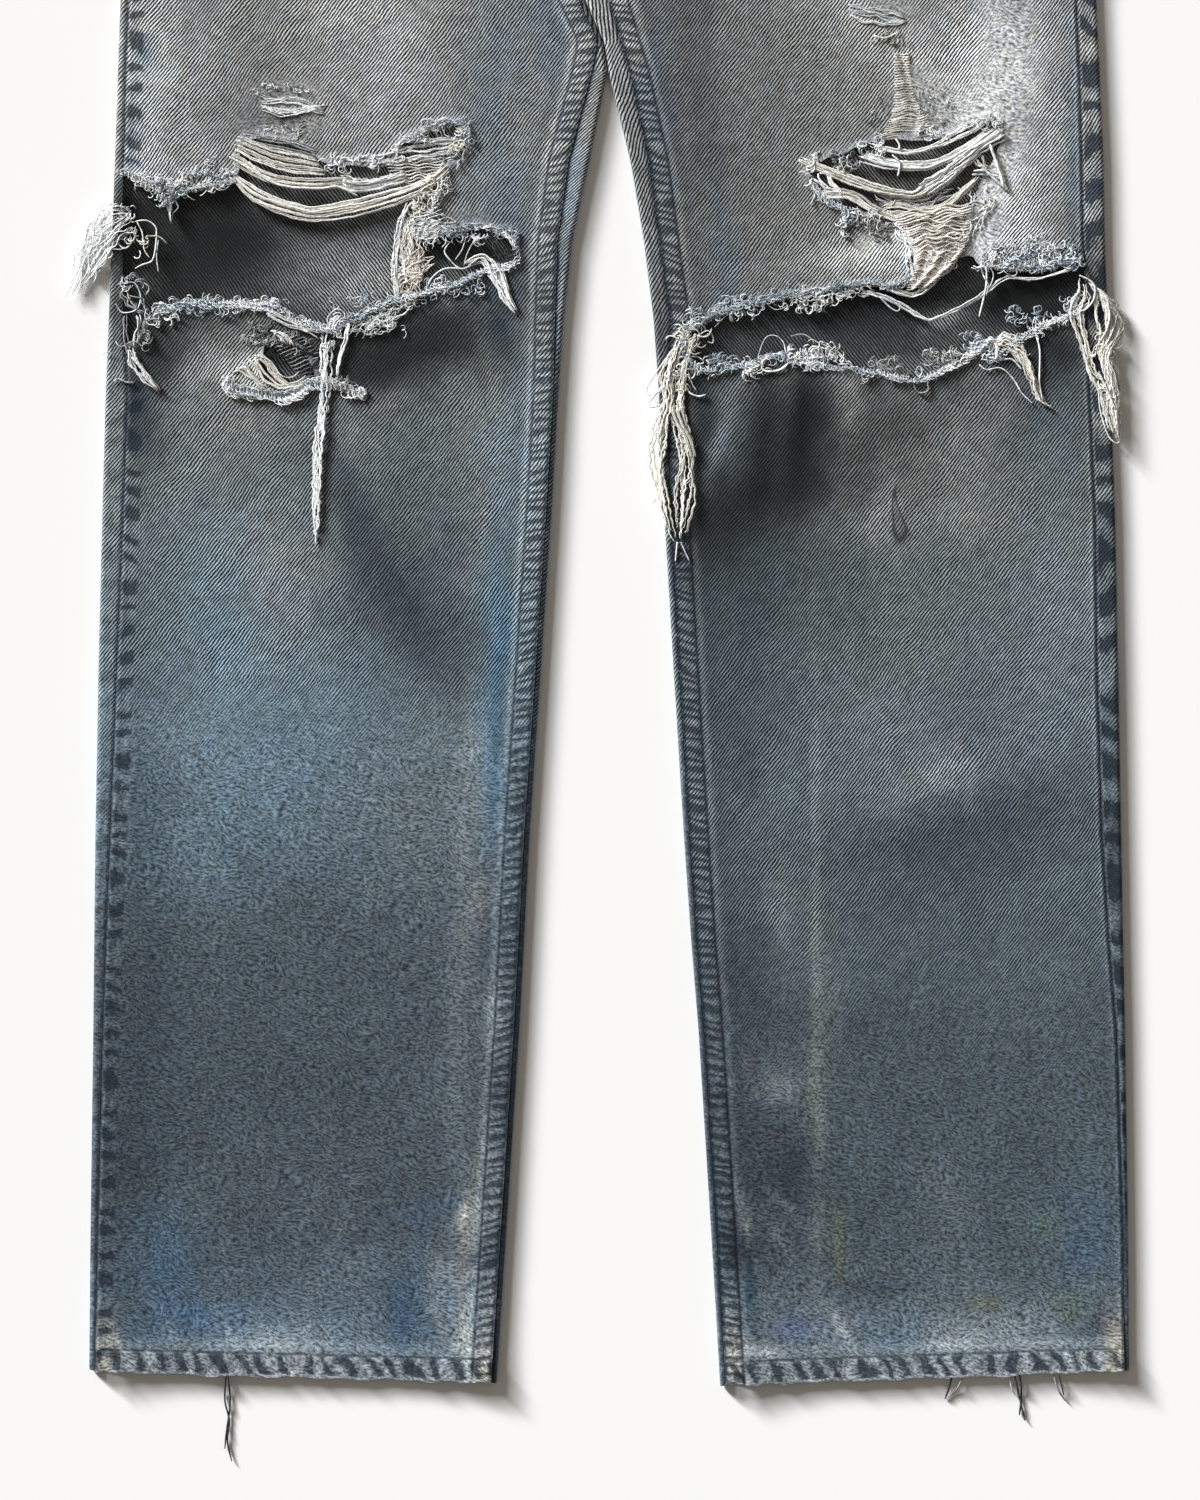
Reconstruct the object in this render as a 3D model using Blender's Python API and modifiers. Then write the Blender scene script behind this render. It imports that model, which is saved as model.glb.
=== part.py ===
"""Ripped jeans, lying flat on a surface with the front up and both knees torn open.

The garment lies in the XY plane. The waist points to +Y, the hems to -Y and the front faces +Z.
"Right" and "left" are the wearer's, so the right leg lies at -X.

Lengths below are in millimetres. A place on the garment is given by its height above the hem line
and its distance from the centre line, which is counted outward on each leg.
"""
import math

import bmesh
import bpy

# ---- Driving sizes -------------------------------------------------------------------------------
METRES = 0.001

WALL = 1.2                # denim
BAND_WALL = 2.0           # waistband, two layers pressed together
SEAM_GAP = 0.3
FOLD_RADIUS = 2.0         # middle of the wall where the back panel turns round a leg's edge

CROTCH = 815.0            # inseam, 32 in
YOKE_SIDE = 1012.0
YOKE_CENTRE = 975.0
WAIST_SEAM = 1050.0
BAND_HEIGHT = 40.0
WAIST_HALF = 218.0        # flat half width at the waist seam
FRONT_DIP = 18.0          # the front waist seam hangs this much lower at the centre
DIP_HALF = 204.0          # and rises to the back's height this far out

SEAT_LIFT = 1.5           # the seat lies on its patch pockets
SEAT_RISE = (790.0, 822.0)
HEM_FADE = 200.0          # height over which the tilt of the hem dies away

# The front panel lies this far above the back panel, middle to middle.
LEG_STACK = 1.8
HIP_STACK = 3.0           # over the pocket facings and the zip
HIP_RISE = (830.0, 885.0)
FOLD_REACH = 25.0         # the front comes down from the leg's folded edge over this distance

# The centre of the whole outline, measured from the centre line and the hem line.
OUTLINE_CENTRE = (-3.7, 523.45)

# ---- Outlines of the two legs --------------------------------------------------------------------
# Each row: height, outer edge, outseam, inseam, inner edge.
RIGHT_LEG = (
    (0, 292.3, 289.0, 65.7, 62.7),
    (80, 291.6, 287.6, 60.6, 57.6),
    (200, 290.0, 284.6, 52.9, 49.9),
    (250, 289.5, 282.9, 50.2, 47.2),
    (310, 288.8, 280.5, 47.1, 44.1),
    (400, 287.2, 277.0, 40.9, 37.9),
    (490, 285.0, 273.2, 34.8, 31.8),
    (560, 283.0, 270.9, 30.7, 27.7),
    (600, 281.4, 272.9, 29.8, 24.9),
    (645, 279.5, 273.2, 28.2, 19.9),
    (690, 277.9, 272.8, 22.0, 10.2),
    (740, 276.2, 271.6, 9.0, 0.2),
    (757, 275.6, 271.0, 5.8, 2.7),
    (781, 274.7, 270.2, 17.0, 13.7),
    (798, 273.9, 269.0, 15.4, 12.2),
)
LEFT_LEG = (
    (0, 293.6, 290.6, 66.2, 63.2),
    (80, 293.0, 289.9, 61.5, 58.5),
    (200, 291.4, 286.1, 54.0, 51.0),
    (250, 290.3, 281.9, 49.9, 46.9),
    (310, 289.2, 277.9, 45.8, 42.7),
    (400, 287.6, 275.2, 40.2, 37.1),
    (490, 285.8, 274.1, 35.0, 31.7),
    (560, 283.3, 271.0, 33.5, 28.6),
    (600, 281.6, 269.2, 35.2, 25.7),
    (645, 280.0, 267.3, 29.0, 20.1),
    (690, 279.3, 266.6, 23.2, 12.6),
    (740, 277.1, 265.2, 12.4, 0.2),
    (757, 276.3, 264.5, 7.4, -2.3),
    (781, 275.2, 263.4, 0.3, -13.3),
    (798, 274.4, 262.5, -8.6, -11.8),
)
# Hips, alike on both sides. Each row: height, outer edge, outseam.
HIPS = (
    (815, 273.0, 267.0),
    (830, 272.0, 266.0),
    (860, 270.0, 264.4),
    (920, 261.0, 256.4),
    (980, 244.0, 240.0),
    (1012, 232.0, 228.3),
    (1050, WAIST_HALF, 214.6),
)
CENTRE_LINE = ((CROTCH, -9.0), (WAIST_SEAM, 0.0))      # height, x of the centre seams
HEM_TILT = {-1: (1.7, 7.9), 1: (0.0, 8.5)}             # height of the hem at its inner and outer end
HEM_INNER, HEM_OUTER = 63.0, 292.0

# More rows on the front, where the knees are uneven.
FRONT_ROWS = (520, 540, 580, 620, 662, 676, 712)
FRONT_COLUMNS = (0, 0.04, 0.09, 0.17, 0.27, 0.37, 0.47, 0.57, 0.67, 0.77, 0.87, 0.95, 1)
BACK_FLAT_COLUMNS = 6
ARC_STEPS = 4

# The largest folds of the fronts: x, height, half length, half width, direction in degrees, lift.
FOLDS = (
    (-205, 672, 90, 24, 0, 1.5),       # upper lip of the right knee's rip
    (-195, 598, 105, 24, 0, 1.8),      # its lower lip
    (150, 628, 100, 24, 8, 1.5),       # upper lip of the left knee's rip
    (140, 566, 105, 22, 0, 2.0),       # its lower lip
    (78, 530, 46, 13, 80, 1.8),        # pleats hanging from it
    (127, 528, 40, 14, 95, 1.5),
    (-120, 520, 60, 30, 60, 1.2),      # slack below the right knee
    (160, 320, 90, 24, 12, 1.4),       # a sagging fold across the left calf
)

# ---- The torn openings, x and height -------------------------------------------------------------
RIGHT_KNEE_RIP = (
    (-285, 675), (-258, 674), (-250, 664), (-238, 671), (-210, 678), (-206, 697), (-195, 703),
    (-174, 700), (-157, 688), (-120, 688), (-117, 697), (-95, 709), (-81, 710), (-82, 691),
    (-92, 688), (-95, 671), (-103, 660), (-106, 648), (-61, 651), (-54, 643), (-55, 633),
    (-72, 628), (-92, 620), (-117, 612), (-148, 600), (-157, 596), (-174, 600), (-191, 608),
    (-230, 610), (-250, 607), (-261, 601), (-265, 592), (-271, 587), (-285, 587),
)
RIGHT_SHIN_RIP = ((-195, 582), (-185, 589), (-171, 582), (-165, 568), (-176, 562), (-195, 567))
LEFT_KNEE_RIP = (
    (44, 587), (52, 598), (74, 607), (97, 612), (142, 619), (162, 619), (172, 625), (171, 636),
    (167, 646), (148, 660), (131, 664), (115, 680), (113, 688), (128, 692), (153, 702), (184, 702),
    (215, 712), (221, 709), (220, 697), (207, 671), (200, 648), (196, 636), (205, 636),
    (213, 630), (249, 629), (275, 634), (280, 612), (255, 602), (232, 590), (221, 583),
    (213, 587), (199, 579), (182, 570), (168, 567), (134, 574), (109, 578), (91, 581),
    (74, 575), (52, 573),
)

# ---- Yarn pulled out of the cloth: (x, height, width) along each strand --------------------------
YARNS = {
    "yarn_ladder_right": ((-202, 688, 20), (-185, 681, 28), (-162, 674, 30), (-134, 676, 26),
                          (-112, 685, 24), (-90, 698, 20)),
    "yarn_column_right": ((-114, 662, 10), (-117, 640, 13), (-118, 615, 11)),
    "yarn_tuft_outer_right": ((-266, 671, 6), (-277, 664, 12), (-287, 648, 16), (-295, 630, 12),
                              (-299, 616, 3)),
    "yarn_tuft_inner_right": ((-74, 631, 3), (-63, 626, 8), (-57, 614, 6), (-52, 603, 2)),
    "yarn_knot_right": ((-157, 603, 11), (-158, 584, 8), (-161, 533, 4), (-164, 499, 3),
                        (-167, 474, 4)),
    "yarn_tuft_low_right": ((-267, 588, 4), (-262, 573, 6), (-254, 560, 2)),
    "yarn_patch_right": ((-198, 581, 10), (-184, 572, 16), (-170, 564, 12)),
    "yarn_ladder_left": ((115, 682, 10), (142, 672, 24), (168, 672, 28), (193, 682, 24),
                         (217, 703, 10)),
    "yarn_column_left": ((181, 656, 26), (184, 643, 24), (178, 630, 14), (173, 617, 8)),
    "yarn_bundle_inner_left": ((46, 594, 12), (38, 572, 18), (33, 555, 22), (36, 533, 20),
                               (39, 505, 16), (42, 471, 4)),
    "yarn_bundle_outer_left": ((266, 621, 6), (277, 601, 18), (283, 578, 21), (281, 556, 18),
                               (284, 534, 5)),
    "yarn_tuft_left": ((222, 583, 8), (232, 571, 9), (248, 553, 2)),
}
YARN_CLEARANCE = 0.8
# Threads that trail from the hems on to the surface.
HEM_THREADS = {
    "hem_thread_right": ((-214.8, 5.2, 3), (-215.4, -14, 2), (-214.3, -31, 3.5), (-212.6, -43, 1)),
    "hem_thread_left_a": ((194.5, 4.4, 4), (197.5, -6.5, 1)),
    "hem_thread_left_b": ((229.6, 5.7, 8), (232.5, -19.5, 1.5)),
    "hem_thread_left_c": ((253.0, 6.5, 6), (255.5, -7.5, 1.5)),
}
HEM_THREAD_LEVEL = 1.0

# ---- Small pieces --------------------------------------------------------------------------------
# Back patch pocket, distance from the centre line and height.
BACK_POCKET = ((40, 962), (168, 968), (163, 858), (104, 829), (46, 852))
FACING_INNER = 92.0        # front pocket facing
FACING_BOTTOM = 938.0
SCOOP_INNER = 120.0        # the scoop opening meets the waist seam here
SCOOP_BOTTOM = 968.0       # and the outseam here
FLY_WIDTH = 40.0
FLY_BOTTOM = 888.0
ZIP_WIDTH = 24.0
BUTTON_RADIUS = 8.5
BUTTON_HEIGHT = 2.5
BUTTON_X = -6.0
UNDERLAP = 14.0            # the band's lower end passes the centre by this much
OVERLAP = 24.0             # and its upper end by this much
LOOP_WIDTH = 11.0
LOOP_HEIGHT = 48.0
FRONT_LOOP = 108.0
BACK_LOOP = 112.0

WASHED = (0.135, 0.175, 0.205, 1)
FADED = (0.19, 0.205, 0.21, 1)
INDIGO = (0.035, 0.06, 0.11, 1)
COTTON = (0.66, 0.62, 0.53, 1)
STEEL = (0.55, 0.52, 0.47, 1)


# ---- Shape of the garment ------------------------------------------------------------------------
def between(table, height, column):
    """Read one column of a table at a height, straight between its rows."""
    for lower, upper in zip(table, table[1:]):
        if height <= upper[0]:
            part = (height - lower[0]) / (upper[0] - lower[0])
            return lower[column] + (upper[column] - lower[column]) * max(part, 0)
    return table[-1][column]


def ramp(height, span):
    """0 below the span, 1 above it and straight between."""
    return min(max((height - span[0]) / (span[1] - span[0]), 0), 1)


def edges(side, height):
    """Distances of outer edge, outseam, inseam and inner edge from the centre line."""
    leg = RIGHT_LEG if side < 0 else LEFT_LEG
    centre = side * between(CENTRE_LINE, height, 1)
    hip_row = (HIPS[0][0], HIPS[0][1], HIPS[0][2], side * CENTRE_LINE[0][1],
               side * CENTRE_LINE[0][1])
    if height <= CROTCH:
        rows = leg + (hip_row,)
        return tuple(between(rows, height, column) for column in (1, 2, 3, 4))
    return between(HIPS, height, 1), between(HIPS, height, 2), centre, centre


def back_level(height):
    """Middle of the back panel's wall above the surface."""
    return WALL / 2 + SEAT_LIFT * ramp(height, SEAT_RISE)


def fold_level(height):
    """Middle of the wall on top of a folded edge."""
    return back_level(height) + 2 * FOLD_RADIUS


def front_level(side, distance, height):
    """Middle of the front panel's wall above the surface."""
    outer, outseam, inseam, inner = edges(side, height)
    low = back_level(height) + LEG_STACK + (HIP_STACK - LEG_STACK) * ramp(height, HIP_RISE)
    rise = fold_level(height) - low
    folded = 1 - ramp(height, (798, CROTCH))
    from_outer = math.exp(-((outseam - distance) / FOLD_REACH) ** 2)
    from_inner = math.exp(-((distance - inseam) / FOLD_REACH) ** 2) * folded
    lift = 0
    for x, fold_height, length, width, direction, size in FOLDS:
        along, across = turned(side * distance - x, height - fold_height, direction)
        lift += size * math.exp(-(along / length) ** 2 - (across / width) ** 2)
    fade = 1 - max(from_outer, from_inner)
    return low + rise * max(from_outer, from_inner) + lift * fade


def turned(x, y, degrees):
    """Coordinates along and across a direction."""
    angle = math.radians(degrees)
    return x * math.cos(angle) + y * math.sin(angle), y * math.cos(angle) - x * math.sin(angle)


def hem_drop(side, distance, height):
    """How far the tilt of the hem lifts a point."""
    inner, outer = HEM_TILT[side]
    part = (distance - HEM_INNER) / (HEM_OUTER - HEM_INNER)
    return (inner + (outer - inner) * part) * max(1 - height / HEM_FADE, 0)


def front_waist(distance):
    """Height of the front waist seam."""
    return WAIST_SEAM - FRONT_DIP * (1 - min(distance / DIP_HALF, 1) ** 2)


def yoke_seam(distance):
    """Height of the back yoke's seam, lowest at the centre."""
    return YOKE_CENTRE + (YOKE_SIDE - YOKE_CENTRE) * min(max(distance, 0) / WAIST_HALF, 1)


def squeezed(height, base, top, new_top):
    """Move the rows between base and top so that the last one lies at new_top."""
    if height <= base:
        return height
    return base + (height - base) * (new_top - base) / (top - base)


# ---- Building blocks -----------------------------------------------------------------------------
def clear_scene():
    for old in list(bpy.data.objects):
        bpy.data.objects.remove(old, do_unlink=True)


def new_collection(name):
    collection = bpy.data.collections.new(name)
    bpy.context.scene.collection.children.link(collection)
    return collection


def material(name, colour, roughness=0.9, metallic=0.0):
    made = bpy.data.materials.new(name)
    made.use_nodes = True
    shader = made.node_tree.nodes["Principled BSDF"]
    shader.inputs["Base Color"].default_value = colour
    shader.inputs["Roughness"].default_value = roughness
    shader.inputs["Metallic"].default_value = metallic
    return made


def placed(name, data, look, parent, collection):
    """Make the object, on the garment's own empty."""
    made = bpy.data.objects.new(name, data)
    collection.objects.link(made)
    made.parent = parent
    made.data.materials.append(material(name, *look))
    return made


def thicken(piece, wall):
    """Give an open surface its wall, half on each side."""
    solid = piece.modifiers.new("wall", "SOLIDIFY")
    solid.thickness = wall * METRES
    solid.offset = 0
    solid.use_even_offset = True


def sheet(name, rows, wall, look, parent, collection):
    """A cloth wall through rows of points (x, height, level), all rows the same length."""
    mesh = bmesh.new()
    grid = [[mesh.verts.new([value * METRES for value in point]) for point in row] for row in rows]
    for low, high in zip(grid, grid[1:]):
        for column in range(len(low) - 1):
            mesh.faces.new((low[column], low[column + 1], high[column + 1], high[column]))
    bmesh.ops.recalc_face_normals(mesh, faces=mesh.faces)
    data = bpy.data.meshes.new(name)
    mesh.to_mesh(data)
    mesh.free()
    piece = placed(name, data, look, parent, collection)
    thicken(piece, wall)
    return piece


def prism(name, outline, bottom, top, collection, look=None, parent=None):
    """A plate with straight sides over an outline of (x, height) points."""
    mesh = bmesh.new()
    corners = [mesh.verts.new((x * METRES, y * METRES, bottom * METRES)) for x, y in outline]
    face = mesh.faces.new(corners)
    sides = bmesh.ops.extrude_face_region(mesh, geom=[face])
    raised = [item for item in sides["geom"] if isinstance(item, bmesh.types.BMVert)]
    bmesh.ops.translate(mesh, verts=raised, vec=(0, 0, (top - bottom) * METRES))
    bmesh.ops.recalc_face_normals(mesh, faces=mesh.faces)
    data = bpy.data.meshes.new(name)
    mesh.to_mesh(data)
    mesh.free()
    if look:
        return placed(name, data, look, parent, collection)
    made = bpy.data.objects.new(name, data)
    collection.objects.link(made)
    made.parent = parent
    made.hide_render = True
    made.display_type = "WIRE"
    return made


def cut(piece, outline, name, cutters, parent):
    """Take an outline out of a piece, right through."""
    tool = prism(name, outline, -5, 30, cutters, parent=parent)
    hole = piece.modifiers.new(name, "BOOLEAN")
    hole.operation = "DIFFERENCE"
    hole.solver = "EXACT"
    hole.object = tool


def arc(centre, radius, start, end, steps):
    """Points on an arc, both ends included, angles in degrees."""
    points = []
    for step in range(steps + 1):
        angle = math.radians(start + (end - start) * step / steps)
        points.append((centre[0] + radius * math.cos(angle), centre[1] + radius * math.sin(angle)))
    return points


# ---- Back of the garment -------------------------------------------------------------------------
def back_section(side, height):
    """The back panel's wall at one height, from outseam to inseam: (distance, level) points."""
    outer, outseam, inseam, inner = edges(side, height)
    low, high = back_level(height), fold_level(height)
    turn = FOLD_RADIUS + WALL / 2
    middle = (low + high) / 2
    points = [(outseam + SEAM_GAP / 2, high)]
    points += arc((outer - turn, middle), FOLD_RADIUS, 90, -90, ARC_STEPS)
    open_crotch = ramp(height, (781, CROTCH))
    folded = arc((inner + turn, middle), FOLD_RADIUS, -90, -270, ARC_STEPS)
    folded.append((inseam - SEAM_GAP / 2, high))
    centre = side * between(CENTRE_LINE, max(height, CROTCH), 1) + SEAM_GAP / 2
    unfolded = [(centre + 3 * step, low) for step in range(len(folded) - 1, -1, -1)]
    tail = []
    for (fold_x, fold_z), (flat_x, flat_z) in zip(folded, unfolded):
        tail.append((fold_x + (flat_x - fold_x) * open_crotch,
                     fold_z + (flat_z - fold_z) * open_crotch))
    start, end = points[-1][0], tail[0][0]
    for step in range(1, BACK_FLAT_COLUMNS):
        points.append((start + (end - start) * step / BACK_FLAT_COLUMNS, low))
    return points + tail


def back_panel(side, name, parent, collection):
    leg = RIGHT_LEG if side < 0 else LEFT_LEG
    heights = [row[0] for row in leg] + [row[0] for row in HIPS if row[0] <= YOKE_SIDE]
    rows = []
    for height in heights:
        row = []
        for distance, level in back_section(side, height):
            top = yoke_seam(distance) - SEAM_GAP / 2
            y = squeezed(height, 860, YOKE_SIDE, top) + hem_drop(side, distance, height)
            row.append((side * distance, y, level))
        rows.append(row)
    return sheet(name, rows, WALL, (WASHED,), parent, collection)


def back_yoke(side, name, parent, collection):
    """The shaped piece between the back panel and the waistband."""
    rows = []
    for part in (0, 0.5, 1):
        height = YOKE_SIDE + (WAIST_SEAM - YOKE_SIDE) * part
        row = []
        for distance, level in back_section(side, height):
            bottom = yoke_seam(distance) + SEAM_GAP / 2
            top = WAIST_SEAM - SEAM_GAP / 2
            row.append((side * distance, bottom + (top - bottom) * part, level))
        rows.append(row)
    return sheet(name, rows, WALL, (WASHED,), parent, collection)


def back_pocket(side, name, parent, collection):
    outline = [(side * distance, height) for distance, height in BACK_POCKET]
    return prism(name, outline, 0, WALL, collection, (WASHED,), parent)


# ---- Front of the garment ------------------------------------------------------------------------
def front_panel(side, name, parent, collection):
    leg = RIGHT_LEG if side < 0 else LEFT_LEG
    heights = sorted([row[0] for row in leg] + [row[0] for row in HIPS] + list(FRONT_ROWS))
    rows = []
    for height in heights:
        outer, outseam, inseam, inner = edges(side, height)
        start, end = outseam - SEAM_GAP / 2, inseam + SEAM_GAP / 2
        row = []
        for part in FRONT_COLUMNS:
            distance = start + (end - start) * part
            top = front_waist(distance) - SEAM_GAP / 2
            y = squeezed(height, 860, WAIST_SEAM, top) + hem_drop(side, distance, height)
            row.append((side * distance, y, front_level(side, distance, height)))
        rows.append(row)
    return sheet(name, rows, WALL, (FADED,), parent, collection)


def pocket_scoop(side):
    """Outline taken out of a front panel for the hand: a quarter of an oval."""
    outline = [(side * SCOOP_INNER, WAIST_SEAM + 10)]
    across, down = WAIST_HALF + 32 - SCOOP_INNER, front_waist(SCOOP_INNER) - SCOOP_BOTTOM
    for step in range(7):
        angle = math.radians(15 * step)
        outline.append((side * (WAIST_HALF + 32 - across * math.cos(angle)),
                        SCOOP_BOTTOM + down * (1 - math.sin(angle))))
    outline.append((side * (WAIST_HALF + 60), SCOOP_BOTTOM))
    outline.append((side * (WAIST_HALF + 60), WAIST_SEAM + 10))
    return outline


def pocket_facing(side, name, parent, collection):
    """The cloth seen inside the scoop, lying between front and back."""
    clear = FOLD_RADIUS + WALL + 2
    outline = [(FACING_INNER, FACING_BOTTOM)]
    for height in (FACING_BOTTOM, 980, YOKE_SIDE, WAIST_SEAM):
        distance = between(HIPS, height, 1) - clear
        outline.append((distance, min(height, front_waist(distance) - 1)))
    outline.append((FACING_INNER, front_waist(FACING_INNER) - 1))
    bottom = back_level(WAIST_SEAM) + WALL / 2 + SEAM_GAP
    outline = [(side * distance, height) for distance, height in outline]
    return prism(name, outline, bottom, bottom + WALL, collection, (WASHED,), parent)


def fly(parent, collection):
    """The flap of the left front, with its curved lower end, on top of the front panel."""
    top_of_front = back_level(WAIST_SEAM) + HIP_STACK + WALL / 2
    bottom = top_of_front + SEAM_GAP
    corner = (0, FLY_BOTTOM + FLY_WIDTH)
    outline = [(0, front_waist(0) - 1)]
    outline += [(x, y) for x, y in arc(corner, FLY_WIDTH, 270, 360, 6)]
    outline.append((FLY_WIDTH, front_waist(FLY_WIDTH) - 1))
    return prism("fly", outline, bottom, bottom + WALL, collection, (FADED,), parent)


def zip_fastener(parent, collection):
    """The closed zip with its tape, behind the fly."""
    bottom = back_level(WAIST_SEAM) + WALL / 2 + SEAM_GAP
    half = ZIP_WIDTH / 2
    outline = [(-half, FLY_BOTTOM + 8), (half, FLY_BOTTOM + 8), (half, front_waist(0) - 3),
               (-half, front_waist(0) - 3)]
    return prism("zip", outline, bottom, bottom + WALL, collection, (INDIGO,), parent)


# ---- Waistband -----------------------------------------------------------------------------------
def band_levels():
    """Middle of the band's wall at the back, at the front and where its ends overlap."""
    back = back_level(WAIST_SEAM) + (BAND_WALL - WALL) / 2
    front = back + BAND_WALL + 1
    return back, front, front + BAND_WALL + SEAM_GAP


def band_path():
    """The band seen from above its edge: (x, level, share of the front's dip) points."""
    back, front, over = band_levels()
    radius = (front - back) / 2
    side = WAIST_HALF - radius - BAND_WALL / 2
    steps = 8
    path = [(UNDERLAP + (-side - UNDERLAP) * step / steps, front, 1) for step in range(steps + 1)]
    for x, z in arc((-side, (back + front) / 2), radius, 90, 270, ARC_STEPS)[1:]:
        path.append((x, z, (z - back) / (front - back)))
    path += [(-side + 2 * side * step / steps, back, 0) for step in range(1, steps + 1)]
    for x, z in arc((side, (back + front) / 2), radius, -90, 90, ARC_STEPS)[1:]:
        path.append((x, z, (z - back) / (front - back)))
    for x in (170, 120, 80, 50):
        path.append((x, front, 1))
    path += [(30, over, 1), (5, over, 1), (-OVERLAP, over, 1)]
    return path


def waistband(parent, collection):
    lower, upper = [], []
    for x, level, dip in band_path():
        seam = WAIST_SEAM + (front_waist(abs(x)) - WAIST_SEAM) * dip
        lower.append((x, seam + SEAM_GAP / 2, level))
        upper.append((x, seam + BAND_HEIGHT, level))
    return sheet("waistband", (lower, upper), BAND_WALL, (WASHED,), parent, collection)


def slab(name, x, y, bottom, parent, collection):
    """A belt loop, one folded strip pressed flat."""
    bpy.ops.mesh.primitive_cube_add(size=1)
    loop = bpy.context.active_object
    for user in list(loop.users_collection):
        user.objects.unlink(loop)
    collection.objects.link(loop)
    loop.name = name
    loop.data.name = name
    loop.parent = parent
    size = (LOOP_WIDTH * METRES, LOOP_HEIGHT * METRES, WALL * METRES)
    for corner in loop.data.vertices:
        corner.co = [corner.co[axis] * size[axis] for axis in range(3)]
    loop.location = (x * METRES, y * METRES, (bottom + WALL / 2) * METRES)
    rounded = loop.modifiers.new("rounded", "BEVEL")
    rounded.width = 0.3 * METRES
    rounded.segments = 1
    loop.data.materials.append(material(name, FADED))
    return loop


def belt_loops(parent, collection):
    back, front, over = band_levels()
    below = back - BAND_WALL / 2 - SEAM_GAP - WALL
    above = front + BAND_WALL / 2 + SEAM_GAP
    back_y = WAIST_SEAM + BAND_HEIGHT - LOOP_HEIGHT / 2
    front_y = front_waist(FRONT_LOOP) + BAND_HEIGHT - LOOP_HEIGHT / 2
    slab("belt_loop_front_right", -FRONT_LOOP, front_y, above, parent, collection)
    slab("belt_loop_front_left", FRONT_LOOP, front_y, above, parent, collection)
    slab("belt_loop_back_right", -BACK_LOOP, back_y, below, parent, collection)
    slab("belt_loop_back_left", BACK_LOOP, back_y, below, parent, collection)
    slab("belt_loop_back_centre", 0, back_y, below, parent, collection)


def waist_button(parent, collection):
    """A metal button turned from its profile, on the band's upper end."""
    over = band_levels()[2] + BAND_WALL / 2 + SEAM_GAP
    profile = ((0, 0), (6.5, 0), (8.2, 0.6), (BUTTON_RADIUS, 1.4), (8.0, 2.2), (6.8, BUTTON_HEIGHT),
               (6.0, 2.1), (0, 2.1))
    mesh = bpy.data.meshes.new("waist_button")
    points = [(radius * METRES, 0, z * METRES) for radius, z in reversed(profile)]
    mesh.from_pydata(points, [(i, i + 1) for i in range(len(points) - 1)], [])
    button = placed("waist_button", mesh, (STEEL, 0.4, 0.9), parent, collection)
    button.location = (BUTTON_X * METRES, (front_waist(0) + BAND_HEIGHT / 2) * METRES,
                       over * METRES)
    turn = button.modifiers.new("turned", "SCREW")
    turn.steps = 14
    turn.render_steps = 14
    turn.use_merge_vertices = True
    turn.merge_threshold = 0.00001
    return button


# ---- Yarn ----------------------------------------------------------------------------------------
def surface_top(x, height):
    """Top of whatever lies at a place: the front panel or the folded edge beside it."""
    side = -1 if x < 0 else 1
    distance = abs(x)
    outer, outseam, inseam, inner = edges(side, height)
    inside = min(max(distance, inseam), outseam)
    level = front_level(side, inside, height)
    return max(level, fold_level(height) if inside != distance else 0) + WALL / 2


def smooth_stations(stations, steps):
    """More stations along a strand, on a smooth curve through the given ones."""
    ends = (stations[0],) + tuple(stations) + (stations[-1],)
    found = []
    for index in range(1, len(stations)):
        before, start, end, after = ends[index - 1:index + 3]
        for step in range(steps):
            t = step / steps
            found.append([0.5 * (2 * b + (c - a) * t + (2 * a - 5 * b + 4 * c - d) * t ** 2
                                 + (3 * b - a - 3 * c + d) * t ** 3)
                          for a, b, c, d in zip(before, start, end, after)])
    found.append(list(stations[-1]))
    return found


def strand(name, stations, level, parent, collection):
    """The plain reach of a bunch of yarn: a strip on the cloth, or at a fixed level."""
    points = smooth_stations(stations, 2)
    rows = []
    for index, (x, y, width) in enumerate(points):
        last, following = points[max(index - 1, 0)], points[min(index + 1, len(points) - 1)]
        run = (following[0] - last[0], following[1] - last[1])
        length = math.hypot(*run)
        across = (-run[1] / length * width / 2, run[0] / length * width / 2)
        row = []
        for part in (-1, 0, 1):
            place = (x + across[0] * part, y + across[1] * part)
            top = level
            if level is None:
                top = surface_top(*place) + SEAM_GAP + YARN_CLEARANCE + WALL / 2
            row.append((place[0], place[1], top))
        rows.append(row)
    return sheet(name, rows, WALL, (COTTON,), parent, collection)


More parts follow.
